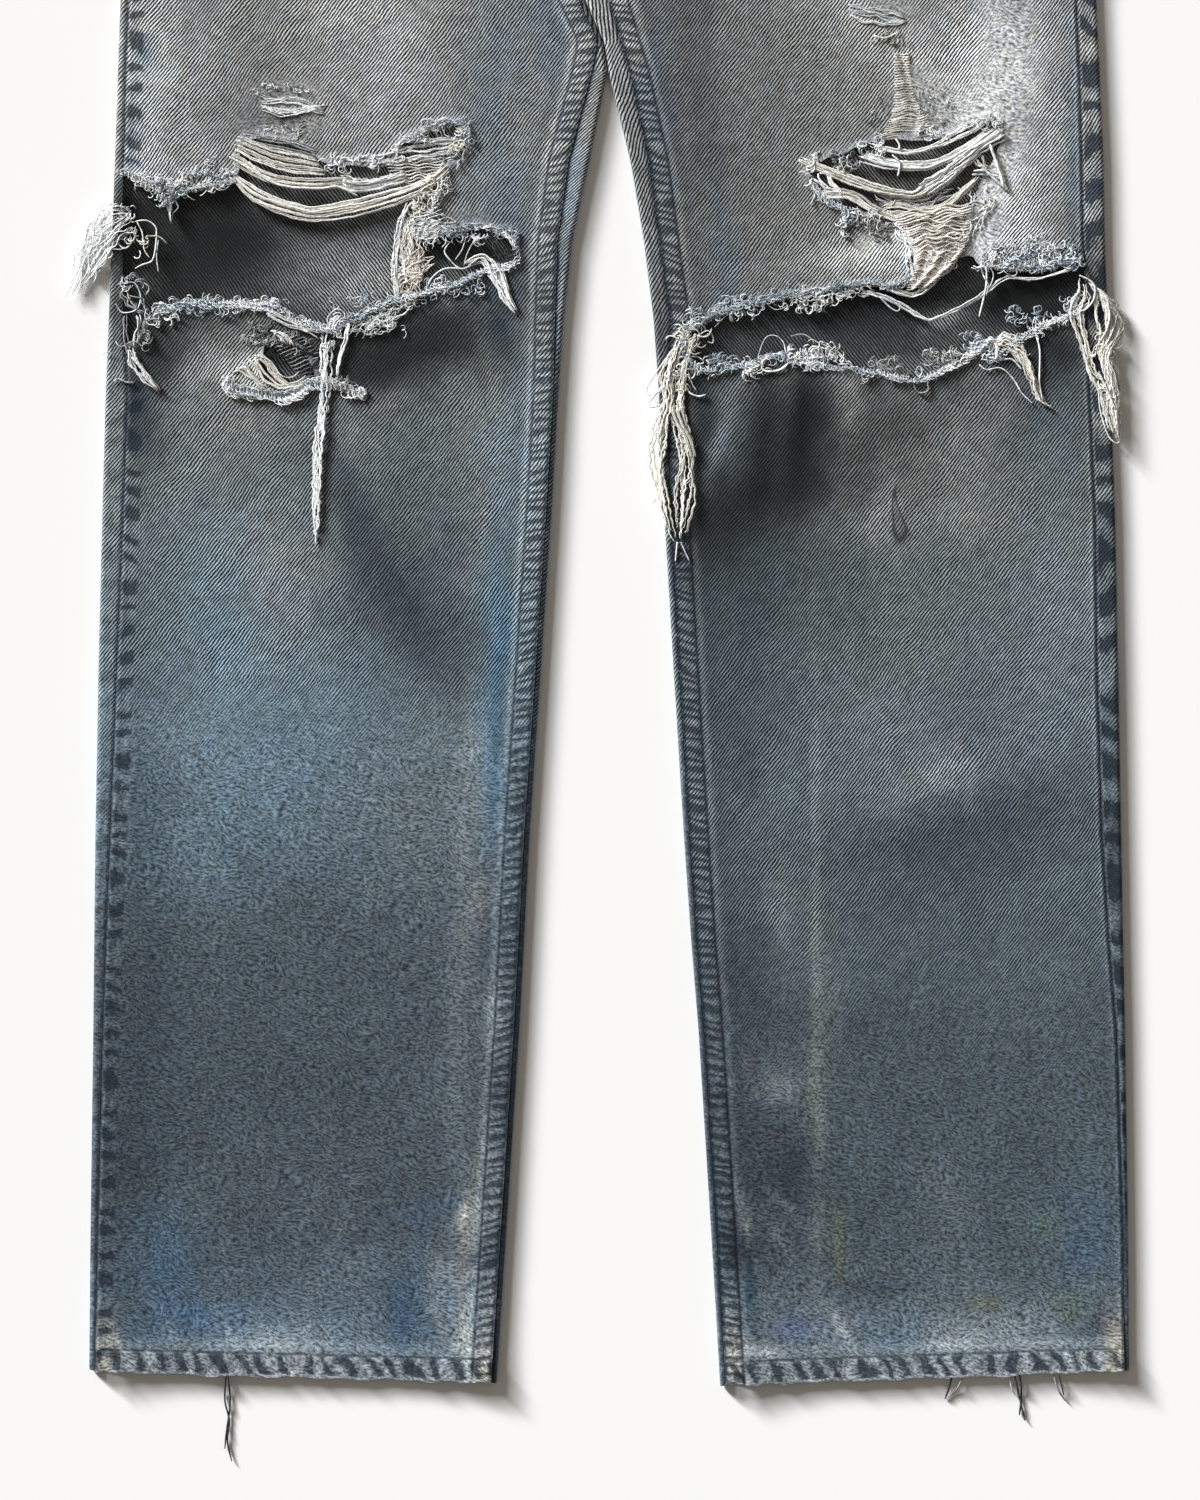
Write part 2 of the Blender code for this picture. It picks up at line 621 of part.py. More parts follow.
# ---- Assembly ------------------------------------------------------------------------------------
def build():
    clear_scene()
    jeans = new_collection("ripped_jeans")
    cutters = new_collection("cutters")
    garment = bpy.data.objects.new("garment", None)
    jeans.objects.link(garment)
    garment.location = (-OUTLINE_CENTRE[0] * METRES, -OUTLINE_CENTRE[1] * METRES, 0)

    for side, word in ((-1, "right"), (1, "left")):
        back_panel(side, "back_panel_" + word, garment, jeans)
        back_yoke(side, "back_yoke_" + word, garment, jeans)
        back_pocket(side, "back_pocket_" + word, garment, jeans)
        pocket_facing(side, "pocket_facing_" + word, garment, jeans)
        front = front_panel(side, "front_panel_" + word, garment, jeans)
        cut(front, pocket_scoop(side), "scoop_" + word, cutters, garment)
        if side < 0:
            cut(front, RIGHT_KNEE_RIP, "knee_rip_right", cutters, garment)
            cut(front, RIGHT_SHIN_RIP, "shin_rip_right", cutters, garment)
        else:
            cut(front, LEFT_KNEE_RIP, "knee_rip_left", cutters, garment)

    fly(garment, jeans)
    zip_fastener(garment, jeans)
    waistband(garment, jeans)
    belt_loops(garment, jeans)
    waist_button(garment, jeans)
    for name, stations in YARNS.items():
        strand(name, stations, None, garment, jeans)
    for name, stations in HEM_THREADS.items():
        strand(name, stations, HEM_THREAD_LEVEL, garment, jeans)


build()
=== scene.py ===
"""Ripped jeans lying flat with the front up: washed denim, torn knees, loose yarn and worn seams.

Lengths are millimetres on the garment: x from its centre line, height above its hem line, level above
the surface that it lies on. "Right" and "left" are the wearer's, so the right leg lies at -X.
"""
import math

import bpy
import numpy as np
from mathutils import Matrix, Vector


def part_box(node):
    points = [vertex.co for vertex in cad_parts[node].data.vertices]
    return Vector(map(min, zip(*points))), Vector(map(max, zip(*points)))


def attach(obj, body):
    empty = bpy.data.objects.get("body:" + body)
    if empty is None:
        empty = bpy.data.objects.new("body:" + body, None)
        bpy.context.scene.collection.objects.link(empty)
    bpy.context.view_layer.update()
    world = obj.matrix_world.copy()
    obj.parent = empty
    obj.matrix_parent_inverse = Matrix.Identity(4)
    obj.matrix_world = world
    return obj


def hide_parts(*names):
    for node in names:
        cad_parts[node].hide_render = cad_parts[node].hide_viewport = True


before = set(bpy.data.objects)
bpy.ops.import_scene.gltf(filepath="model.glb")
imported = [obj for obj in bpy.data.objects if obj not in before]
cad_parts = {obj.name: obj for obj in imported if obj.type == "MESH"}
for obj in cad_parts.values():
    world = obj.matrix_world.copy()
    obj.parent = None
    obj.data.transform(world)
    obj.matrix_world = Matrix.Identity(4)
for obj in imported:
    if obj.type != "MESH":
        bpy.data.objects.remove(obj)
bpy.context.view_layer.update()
bpy.ops.object.select_all(action="DESELECT")

# ---- The surface, the light and the camera -------------------------------------------------------
# A smooth white table. Soft suns at four heights to the upper left throw the narrow shadows along the
# legs, which fade outwards, and the sky fills them. The camera looks straight down on the legs and knees.
bpy.ops.mesh.primitive_plane_add(size=8, location=(0, 0, -0.0002))
table = bpy.context.active_object
table.name = "table"
def wire(target, links):
    """Join each input that is named to a socket, or set it to a plain value."""
    for name, source in links.items():
        if isinstance(source, bpy.types.NodeSocket):
            target.id_data.links.new(source, target.inputs[name])
        else:
            target.inputs[name].default_value = source


def material(name, finish):
    """A material with these values, and the shader in it."""
    made = bpy.data.materials.new(name)
    made.use_nodes = True
    shader = made.node_tree.nodes["Principled BSDF"]
    wire(shader, finish)
    return made, shader


white = {"Base Color": (0.985, 0.983, 0.98, 1), "Roughness": 0.9, "Specular IOR Level": 0.1}
table.data.materials.append(material("white_table", white)[0])

SUN_TOWARDS = math.radians(-45)
SUN_SHARE = 0.2
for sun_height, sun_width in ((29, 10), (21, 8), (17, 7), (14, 6)):
    bpy.ops.object.light_add(type="SUN", location=(-1, 1, 1))
    sun = bpy.context.active_object
    sun.name = "sun_%d" % sun_height
    rise = math.radians(sun_height)
    sun.data.energy = math.pi * SUN_SHARE / math.sin(rise)
    sun.data.angle = math.radians(sun_width)
    sun.data.color = (0.985, 1.0, 1.015)
    travel = Vector((math.cos(SUN_TOWARDS) * math.cos(rise), math.sin(SUN_TOWARDS) * math.cos(rise),
                     -math.sin(rise)))
    sun.rotation_euler = travel.to_track_quat("-Z", "Y").to_euler()

world = bpy.data.worlds.new("sky")
bpy.context.scene.world = world
world.use_nodes = True
sky = world.node_tree
def node(tree, kind, links=None, **settings):
    """The outputs of a new shader node with these settings and inputs."""
    made = tree.nodes.new("ShaderNode" + kind)
    for key, value in settings.items():
        setattr(made, key, value)
    wire(made, links or {})
    return made.outputs


def maths(operation, *values):
    """The output of a Math node, in the tree of the first of its values that is wired."""
    tree = next(value.id_data for value in values if isinstance(value, bpy.types.NodeSocket))
    return node(tree, "Math", dict(enumerate(values)), operation=operation)[0]


sky_fill = sky.nodes["Background"]
wire(sky_fill, {"Color": (1.0, 0.9, 0.79, 1), "Strength": 0.18})
rays = node(sky, "LightPath")
seen = maths("MAXIMUM", rays["Is Camera Ray"], rays["Is Glossy Ray"])
seen = maths("MAXIMUM", seen, rays["Is Transmission Ray"])
sky_seen = node(sky, "Background", {"Color": (1, 1, 1, 1)})[0]
sky_mix = node(sky, "MixShader", {"Fac": seen, 1: sky_fill.outputs[0], 2: sky_seen})
wire(sky.nodes["World Output"], {"Surface": sky_mix[0]})

MM = 0.001
BAND_TOP = 1090.0
loop_low, loop_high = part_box("belt_loop_back_centre")
ORIGIN_X = (loop_low.x + loop_high.x) / 2
ORIGIN_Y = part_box("waistband")[1].y - BAND_TOP * MM
VIEW_X, VIEW_HEIGHT, VIEW_LONG = -4.5, 358.0, 846.0
CAMERA_UP = 2.6
bpy.ops.object.camera_add(location=(VIEW_X * MM + ORIGIN_X, VIEW_HEIGHT * MM + ORIGIN_Y, CAMERA_UP))
camera = bpy.context.active_object
camera.data.type = "PERSP"
camera.data.lens = camera.data.sensor_width * CAMERA_UP / (VIEW_LONG * MM)
bpy.context.scene.camera = camera
bpy.context.scene.view_settings.view_transform = "Standard"

# ---- Back panels ---------------------------------------------------------------------------------
# One piece of denim for the back of each leg. It lies on the table, turns round both edges of the
# leg and comes on to the front as a narrow strip, so its inside shows through the torn knees.
LEG_ROWS = {
    # height, outer edge, outseam, inseam, inner edge
    -1: ((0, 292.3, 289.0, 65.7, 62.7), (80, 291.6, 287.6, 60.6, 57.6), (200, 290.0, 284.6, 52.9, 49.9),
         (250, 289.5, 282.9, 50.2, 47.2), (310, 288.8, 280.5, 47.1, 44.1), (400, 287.2, 277.0, 40.9, 37.9),
         (490, 285.0, 273.2, 34.8, 31.8), (560, 283.0, 270.9, 30.7, 27.7), (600, 281.4, 272.9, 29.8, 24.9),
         (645, 279.5, 273.2, 28.2, 19.9), (690, 277.9, 272.8, 22.0, 10.2), (740, 276.2, 271.6, 9.0, 0.2),
         (757, 275.6, 271.0, 5.8, 2.7), (781, 274.7, 270.2, 17.0, 13.7), (798, 273.9, 269.0, 15.4, 12.2)),
    1: ((0, 293.6, 290.6, 66.2, 63.2), (80, 293.0, 289.9, 61.5, 58.5), (200, 291.4, 286.1, 54.0, 51.0),
        (250, 290.3, 281.9, 49.9, 46.9), (310, 289.2, 277.9, 45.8, 42.7), (400, 287.6, 275.2, 40.2, 37.1),
        (490, 285.8, 274.1, 35.0, 31.7), (560, 283.3, 271.0, 33.5, 28.6), (600, 281.6, 269.2, 35.2, 25.7),
        (645, 280.0, 267.3, 29.0, 20.1), (690, 279.3, 266.6, 23.2, 12.6), (740, 277.1, 265.2, 12.4, 0.2),
        (757, 276.3, 264.5, 7.4, -2.3), (781, 275.2, 263.4, 0.3, -13.3), (798, 274.4, 262.5, -8.6, -11.8)),
}
HIP_ROWS = ((815, 273.0, 267.0), (830, 272.0, 266.0), (860, 270.0, 264.4), (920, 261.0, 256.4),
            (980, 244.0, 240.0), (1012, 232.0, 228.3), (1050, 218.0, 214.6))
SIDES = {-1: "right", 1: "left"}
CROTCH = 815.0
WAIST_SEAM = 1050.0
YOKE_SIDE, YOKE_CENTRE = 1012.0, 975.0
WALL = 1.2
FOLD_RADIUS = 2.0
HEM_INNER, HEM_OUTER = 63.0, 292.0
HEM_TILT = {-1: (1.7, 7.9), 1: (0.0, 8.5)}
SEAM_GAP = 0.3


def centre_line(height):
    """x of the seam between the two legs, from the crotch up to the waist."""
    return np.interp(height, (CROTCH, WAIST_SEAM), (-9.0, 0.0))


def leg_edges(side, height):
    """Distances of outer edge, outseam, inseam and inner edge from the centre line."""
    rows = [list(row) for row in LEG_ROWS[side]]
    for level, outer, outseam in HIP_ROWS:
        rows.append([level, outer, outseam, side * centre_line(level), side * centre_line(level)])
    rows = np.array(rows)
    return [np.interp(height, rows[:, 0], rows[:, column]) for column in (1, 2, 3, 4)]


def turned(x, y, degrees):
    """Coordinates along and across a direction."""
    cos, sin = math.cos(math.radians(degrees)), math.sin(math.radians(degrees))
    return x * cos + y * sin, y * cos - x * sin


def cloud(x, y, size, seed):
    """Soft unevenness from -1 to 1, with lumps about this size."""
    lattice = np.random.default_rng(seed).uniform(-1, 1, (89, 89))
    u, v = np.asarray(x) / size, np.asarray(y) / size
    i, j = np.floor(u).astype(int), np.floor(v).astype(int)
    s, t = u - i, v - j
    s, t = s * s * (3 - 2 * s), t * t * (3 - 2 * t)
    low = lattice[i % 89, j % 89] * (1 - s) + lattice[(i + 1) % 89, j % 89] * s
    high = lattice[i % 89, (j + 1) % 89] * (1 - s) + lattice[(i + 1) % 89, (j + 1) % 89] * s
    return low * (1 - t) + high * t


def back_level(height):
    """Middle level of the back's wall, which rises a little below the seat."""
    return WALL / 2 + 1.5 * np.clip((np.asarray(height) - 790) / 32, 0, 1)


def hem_rise(side, distance, height):
    """How far above the hem line the hem's own shape draws the cloth up."""
    inner, outer = HEM_TILT[side]
    part = (distance - HEM_INNER) / (HEM_OUTER - HEM_INNER)
    turned_up = 1.0 * np.exp(-((HEM_OUTER - distance) / 3.0) ** 2) if side < 0 else 0.0
    ragged = 0.8 * cloud(distance, 0 * distance, 9, 41) + 0.4 * cloud(distance, 0 * distance, 3, 42)
    return ((inner + (outer - inner) * part) * np.clip(1 - height / 200.0, 0, None)
            + (turned_up + ragged) * np.clip(1 - height / 14.0, 0, None))


def yoke_seam(distance):
    """Height of the seam between a back panel and its yoke."""
    return YOKE_CENTRE + (YOKE_SIDE - YOKE_CENTRE) * np.clip(distance / 218.0, 0, 1)


def squeezed(height, base, top, new_top):
    """Heights above a base, drawn so that the top comes to a new place."""
    return np.where(height <= base, height, base + (height - base) * (new_top - base) / (top - base))


# Colours of the wash and of painted shade are screen values, 0xRRGGBB. The ground has one for each
# height. A patch is x, height, half length, half width, direction in degrees, colour and strength.
GROUND = {
    -1: (
        (0, 0x4a545b), (12, 0x4c565d), (30, 0x54616b), (75, 0x47525b), (110, 0x424d55), (190, 0x424c53),
        (262, 0x49545c), (300, 0x546068), (358, 0x606e77), (430, 0x626d72), (500, 0x686f71),
        (620, 0x707372), (700, 0x7a7b79), (800, 0x7e7f7e), (1050, 0x707375),
    ),
    1: (
        (0, 0x4e575c), (12, 0x50595e), (30, 0x5c676f), (75, 0x4a555c), (110, 0x444f56), (200, 0x454f55),
        (300, 0x525c62), (360, 0x5c666c), (430, 0x606a6d), (500, 0x616566), (600, 0x646666),
        (680, 0x6c6e6d), (760, 0x7a7b7a), (1050, 0x707375),
    ),
}
# The front's patches hold the wash and painted shade: shadows under the torn lips and fringes, and darkness
# round the tears and in the troughs of the folds.
WASH_AND_SHADE_PATCHES = {
    -1: (
        (-228, 745, 60, 34, 90, 0x909092, 0.6), (-132, 738, 60, 30, 90, 0x9c9c9f, 0.85),
        (-66, 735, 80, 20, 80, 0x6a737b, 0.8), (-256, 718, 62, 15, 90, 0xb0b2b4, 0.85),
        (-268, 690, 40, 5, 90, 0x687c90, 0.5), (-56, 660, 40, 18, 88, 0x5c666e, 0.7),
        (-100, 593, 46, 15, 12, 0x1e2124, 0.95), (-118, 568, 34, 16, 20, 0x424547, 0.8),
        (-262, 552, 34, 14, 90, 0x343c42, 0.8), (-200, 571, 26, 8, 0, 0xb2b4b2, 0.7),
        (-126, 462, 72, 17, 117, 0x3c4347, 0.85), (-130, 385, 44, 24, 90, 0x525f68, 0.6),
        (-232, 695, 26, 18, 0, 0x9c9c9e, 0.6), (-66, 73, 17, 9, 90, 0x1e2632, 0.92),
        (-178, 722, 26, 14, 0, 0x949392, 0.5), (-235, 545, 40, 26, 90, 0x707678, 0.6),
        (-130, 560, 55, 14, 15, 0x4e5456, 0.7), (-115, 528, 40, 20, 70, 0x545e62, 0.6),
        (-82, 446, 62, 16, 112, 0x4e585e, 0.6), (-52, 520, 60, 14, 88, 0x6a7a86, 0.6),
        (-180, 458, 26, 16, 0, 0x747368, 0.55), (-215, 420, 60, 30, 90, 0x6a808e, 0.7),
        (-185, 350, 60, 42, 60, 0x667c8a, 0.7), (-225, 300, 30, 26, 10, 0x627886, 0.5),
        (-262, 330, 60, 12, 90, 0x4e6270, 0.5), (-215, 262, 55, 16, 5, 0x4e585e, 0.5),
        (-100, 330, 60, 30, 90, 0x70787c, 0.45), (-80, 250, 160, 9, 88, 0x6e7676, 0.5),
        (-74, 110, 70, 7, 88, 0x7e7e76, 0.45), (-62, 420, 50, 8, 86, 0x4e7088, 0.7),
        (-64, 362, 60, 7, 86, 0x486880, 0.7), (-258, 200, 60, 14, 90, 0x3e4a54, 0.6),
        (-252, 66, 26, 18, 90, 0x48627a, 0.8), (-232, 34, 34, 12, 0, 0x445e78, 0.8),
        (-160, 34, 40, 11, -6, 0x60717e, 0.75), (-104, 97, 16, 8, 20, 0x465c70, 0.7),
        (-140, 60, 30, 12, 10, 0x606c74, 0.5), (-84, 44, 16, 7, -50, 0x3a5670, 0.8),
        (-112, 44, 22, 11, 80, 0x3c5268, 0.85), (-79, 62, 40, 4.5, 88, 0xa0a29e, 0.7),
        (-81, 34, 14, 5, 90, 0xb2b2aa, 0.7), (-80, 96, 9, 3.5, 80, 0xc0c0b8, 0.8),
        (-93, 33, 12, 2.4, -43, 0x26384a, 0.85), (-90, 29, 14, 2.2, -58, 0x9ea4a6, 0.7),
        (-75, 72, 5, 3, 60, 0x1e2c38, 0.85), (-77, 56, 4, 2.6, 40, 0x22323c, 0.8),
        (-268, 50, 60, 6, 90, 0x4a5a68, 0.5), (-277, 26, 16, 1.9, -58, 0x8a9298, 0.75),
        (-267, 12, 14, 1.9, -54, 0x969ca0, 0.7), (-283, 32, 16, 1.8, -88, 0x3c4a5a, 0.7),
        (-245, 30, 14, 2.2, -60, 0x78848e, 0.6), (-213, 28, 14, 2.4, -62, 0x848e96, 0.65),
        (-190, 27, 12, 2.2, -50, 0x808a90, 0.6), (-172, 33, 12, 2.2, -55, 0x78848c, 0.55),
        (-150, 92, 40, 4, 70, 0x6a7278, 0.4), (-170, 120, 70, 30, 10, 0x545c62, 0.4),
        (-100, 170, 60, 30, 90, 0x545e66, 0.4), (-146, 503, 48, 16, 90, 0x2c3338, 0.45),
        (-106, 583, 38, 16, 0, 0x202224, 0.75), (-148, 586, 14, 20, 0, 0x1e2022, 0.7),
        (-202, 541, 28, 14, 0, 0x969692, 0.4), (-95, 428, 30, 14, 100, 0x424c56, 0.35),
        (-76, 612, 30, 20, 20, 0x3a3e42, 0.5), (-240, 598, 38, 8, 2, 0x282b2e, 0.55),
        (-258, 770, 24, 12, 90, 0xb2b4b6, 0.45), (-174, 448, 34, 24, 0, 0x747e86, 0.3),
        (-236, 590, 20, 8, 0, 0x3c3e3e, 0.5), (-175, 588, 20, 12, 0, 0x2e2f2f, 0.75),
        (-260, 735, 70, 9, 90, 0xc2c4c6, 0.45), (-140, 778, 44, 20, 0, 0xb4b4b2, 0.5),
        (-118, 455, 60, 20, 112, 0x3e464c, 0.3), (-66, 620, 34, 14, 80, 0x3c4248, 0.4),
        (-30, 760, 50, 12, 90, 0x546272, 0.5), (-120, 578, 40, 12, 4, 0x0a0b0c, 0.5),
        (-70, 580, 9, 18, 0, 0x8c9092, 0.5), (-276, 440, 110, 10, 90, 0x54606a, 0.4),
        (-186, 446, 42, 26, 90, 0x868a8f, 0.55), (-138, 478, 40, 10, 100, 0x3a4046, 0.4),
        (-106, 432, 34, 12, 125, 0x343c46, 0.5), (-72, 362, 20, 8, 88, 0x8e9498, 0.5),
        (-72, 270, 14, 8, 88, 0x808280, 0.5), (-72, 153, 24, 8, 88, 0x4c545c, 0.5),
        (-72, 70, 12, 8, 88, 0x44505c, 0.5), (-270, 126, 22, 12, 90, 0x323a42, 0.6),
        (-186, 25, 32, 8, 0, 0x949ca2, 0.6), (-134, 25, 14, 8, 0, 0x5c6872, 0.5),
        (-94, 46, 10, 8, 90, 0x848a8e, 0.5), (-278, 24, 14, 8, 90, 0x54606a, 0.5),
        (-182, 714, 9, 2.6, 0, 0x282a2b, 0.7), (-204, 704, 15, 17, 0, 0x6a6b6c, 0.6),
        (-62, 600, 26, 11, 80, 0x2a3238, 0.7), (-204, 571, 14, 12, 0, 0xc4c6c5, 0.7),
        (-146, 543, 18, 14, 0, 0x787c7c, 0.7), (-89, 62, 14, 12, 0, 0x8c949a, 0.6),
        (-61, 210, 22, 8, 91, 0x787e82, 0.6), (-60, 104, 26, 7, 91, 0x707170, 0.6),
        (-63, 48, 24, 7, 91, 0x7a8084, 0.6), (-53, 330, 26, 7, 91, 0x384044, 0.5),
        (-58, 160, 16, 7, 91, 0x343a40, 0.5), (-89, 429, 16, 14, 0, 0x404a52, 0.5),
        (-214, 690, 12, 12, 0, 0x70706e, 0.5), (-262, 752, 9, 6, 90, 0x505c68, 0.5),
        (-198, 716, 16, 12, 90, 0x606162, 0.4), (-254, 585, 16, 14, 0, 0x08090a, 0.75),
        (-222, 574, 12, 16, 0, 0xa0a1a0, 0.45), (-268, 548, 24, 9, 90, 0x1e242a, 0.6),
        (-128, 555, 14, 6, 0, 0x828382, 0.4),
    ),
    1: (
        (214, 722, 88, 36, 90, 0xcacbcc, 0.85), (268, 700, 60, 7, 90, 0x707c86, 0.5),
        (214, 655, 24, 20, 0, 0xd4d4d4, 0.85), (138, 638, 30, 20, 0, 0xacacaa, 0.8),
        (54, 735, 90, 20, 96, 0x4c4e50, 0.85), (92, 720, 60, 20, 95, 0x6c6e6d, 0.5),
        (88, 486, 74, 48, 84, 0x343a3d, 0.85), (150, 530, 30, 15, 95, 0x383a3a, 0.7),
        (250, 540, 44, 20, 90, 0x4e575c, 0.6), (205, 516, 34, 18, 90, 0x7c8080, 0.6),
        (64, 390, 60, 22, 90, 0x464f55, 0.6), (82, 231, 26, 14, 80, 0x363f44, 0.7),
        (105, 118, 26, 12, 70, 0x323a40, 0.7), (108, 78, 36, 17, 0, 0x384148, 0.6),
        (198, 300, 62, 20, 12, 0x3e474d, 0.75), (160, 730, 60, 30, 90, 0x70716f, 0.5),
        (66, 640, 50, 10, 95, 0x54626e, 0.6), (100, 660, 40, 26, 20, 0x747471, 0.6),
        (150, 636, 30, 16, 10, 0xbebfbc, 0.6), (62, 545, 40, 8, 85, 0x606464, 0.5),
        (90, 532, 42, 9, 88, 0x282b2d, 0.85), (112, 540, 34, 7, 90, 0x1a1c1e, 0.85),
        (132, 545, 26, 9, 90, 0x60605e, 0.5), (152, 534, 34, 16, 95, 0x505252, 0.55),
        (175, 520, 40, 18, 90, 0x686866, 0.5), (86, 478, 40, 22, 70, 0x424a4c, 0.6),
        (255, 540, 50, 20, 90, 0x586266, 0.5), (80, 430, 50, 18, 85, 0x3e484e, 0.6),
        (160, 440, 60, 34, 90, 0x5e6866, 0.5), (250, 440, 60, 22, 90, 0x6c747a, 0.5),
        (82, 330, 50, 20, 85, 0x525c64, 0.4), (160, 340, 50, 30, 80, 0x6a7276, 0.6),
        (210, 318, 60, 13, 14, 0x444e54, 0.75), (150, 312, 34, 10, -12, 0x485258, 0.6),
        (118, 170, 130, 6, 89, 0x606862, 0.55), (122, 250, 60, 10, 90, 0x687070, 0.4),
        (255, 300, 60, 16, 85, 0x4c565c, 0.4), (76, 130, 40, 12, 70, 0x3a444a, 0.6),
        (240, 210, 70, 26, 90, 0x525c62, 0.4), (130, 78, 24, 4, 96, 0x686c54, 0.6),
        (152, 55, 18, 5, 0, 0x28323a, 0.55), (110, 34, 17, 7, 4, 0x3e4e6e, 0.8),
        (156, 30, 21, 9, 0, 0x546c7e, 0.75), (68, 79, 11, 9, 90, 0x182028, 0.92),
        (77, 78, 8, 6, 60, 0x181e24, 0.85), (79, 52, 17, 2.4, 90, 0x24404e, 0.85),
        (78, 90, 18, 2.0, 104, 0x929491, 0.75), (96, 104, 17, 2.3, -40, 0x7c8283, 0.65),
        (86, 109, 8, 4, -52, 0x2a3238, 0.75), (96, 83, 14, 2.4, -52, 0x707678, 0.5),
        (90, 70, 9, 3, -58, 0x2e363c, 0.6), (130, 35, 14, 2.6, -62, 0x9ea3a6, 0.8),
        (84, 22, 12, 5, -15, 0xa0a6a8, 0.7), (232, 27, 14, 2.2, -50, 0x8c9498, 0.6),
        (250, 31, 13, 2.2, -52, 0x848c92, 0.6), (268, 80, 24, 12, 90, 0x42566a, 0.7),
        (245, 86, 12, 8, 90, 0x50645c, 0.5), (262, 45, 14, 8, 0, 0x546256, 0.5),
        (212, 48, 10, 5, 0, 0x6a6e56, 0.5), (282, 36, 14, 8, 0, 0x222e3c, 0.7),
        (205, 34, 44, 9, 0, 0x7e878b, 0.6), (52, 541, 24, 14, 90, 0x1c2226, 0.6),
        (108, 546, 20, 20, 0, 0x1e2122, 0.5), (166, 543, 18, 12, 0, 0x3a3c3a, 0.35),
        (70, 492, 50, 24, 60, 0x2c343a, 0.5), (165, 484, 42, 14, 0, 0x7a7d7e, 0.4),
        (250, 573, 24, 24, 0, 0x2e343a, 0.5), (136, 428, 18, 14, 0, 0x484e52, 0.3),
        (192, 345, 34, 12, 0, 0x7a8086, 0.45), (117, 300, 110, 2.2, 90, 0x8e9597, 0.3),
        (120, 140, 70, 2.4, 89, 0x8a908e, 0.35), (60, 512, 54, 28, 84, 0x282f34, 0.45),
        (28, 735, 110, 12, 93, 0x424e5c, 0.45), (249, 722, 60, 9, 90, 0x80868b, 0.35),
        (192, 106, 28, 14, 90, 0x6c7378, 0.35), (122, 34, 22, 8, 0, 0x969c9e, 0.35),
        (275, 34, 12, 6, 90, 0x323c46, 0.4), (180, 748, 34, 28, 90, 0xcececc, 0.5),
        (214, 722, 34, 24, 90, 0xd8d8d6, 0.5), (140, 770, 30, 22, 90, 0xb0b0ad, 0.5),
        (210, 655, 22, 9, 90, 0xdadcdd, 0.8), (164, 648, 14, 12, 90, 0xc4c5c2, 0.5),
        (132, 448, 24, 22, 0, 0x4a5056, 0.5), (99, 272, 34, 11, 90, 0x787e80, 0.6),
        (187, 341, 16, 10, 0, 0x929698, 0.5), (226, 330, 22, 16, 0, 0x444c52, 0.35),
        (176, 296, 24, 12, 0, 0x3a424a, 0.4), (256, 372, 30, 10, 90, 0x56606a, 0.4),
        (97, 172, 14, 10, 0, 0x7e8486, 0.6), (98, 127, 17, 11, 90, 0x2c343a, 0.6),
        (120, 116, 14, 8, 90, 0x3e464c, 0.4), (72, 160, 12, 8, 90, 0x2e3840, 0.5),
        (74, 70, 12, 8, 90, 0x28323c, 0.5), (142, 54, 30, 9, 0, 0x444e56, 0.5),
        (52, 556, 30, 10, 90, 0x242a2e, 0.6), (79, 345, 18, 10, 90, 0x38424a, 0.6),
        (194, 572, 12, 12, 0, 0x323638, 0.6), (221, 656, 12, 10, 0, 0x929496, 0.6),
        (222, 768, 14, 12, 0, 0xcecfd0, 0.6), (226, 684, 14, 12, 0, 0xcecfcf, 0.6),
        (249, 682, 12, 12, 0, 0x7e8184, 0.5), (110, 118, 16, 12, 0, 0x2c343c, 0.6),
        (66, 486, 30, 16, 0, 0x222828, 0.5), (193, 485, 16, 14, 0, 0x828785, 0.5),
        (108, 513, 14, 12, 0, 0x4a504e, 0.5), (165, 38, 12, 8, 0, 0x4e5f6a, 0.5),
        (52, 84, 30, 7, 90, 0x3c4650, 0.5), (165, 26, 14, 8, 0, 0x525e68, 0.6),
        (198, 26, 22, 8, 0, 0x98a0a2, 0.5), (265, 26, 22, 8, 0, 0x566068, 0.5),
        (84, 745, 60, 14, 90, 0x626466, 0.35), (121, 770, 16, 12, 0, 0x727475, 0.5),
        (186, 762, 14, 16, 0, 0x969798, 0.5), (262, 715, 90, 6, 90, 0x60676f, 0.6),
        (219, 700, 22, 9, 90, 0xe2e3e3, 0.7), (64, 535, 28, 6, 69, 0x7a8086, 0.7),
        (113, 545, 34, 9, 88, 0x060708, 0.75), (104, 515, 26, 13, 60, 0x08090a, 0.6),
        (78, 496, 40, 17, 30, 0x0e1012, 0.5), (137, 556, 18, 6, 92, 0x969795, 0.6),
        (156, 491, 10, 16, 0, 0x9c9e9e, 0.45), (261, 676, 34, 5, 90, 0x626a70, 0.6),
        (249, 586, 22, 15, 0, 0x080a0c, 0.7),
    ),
}
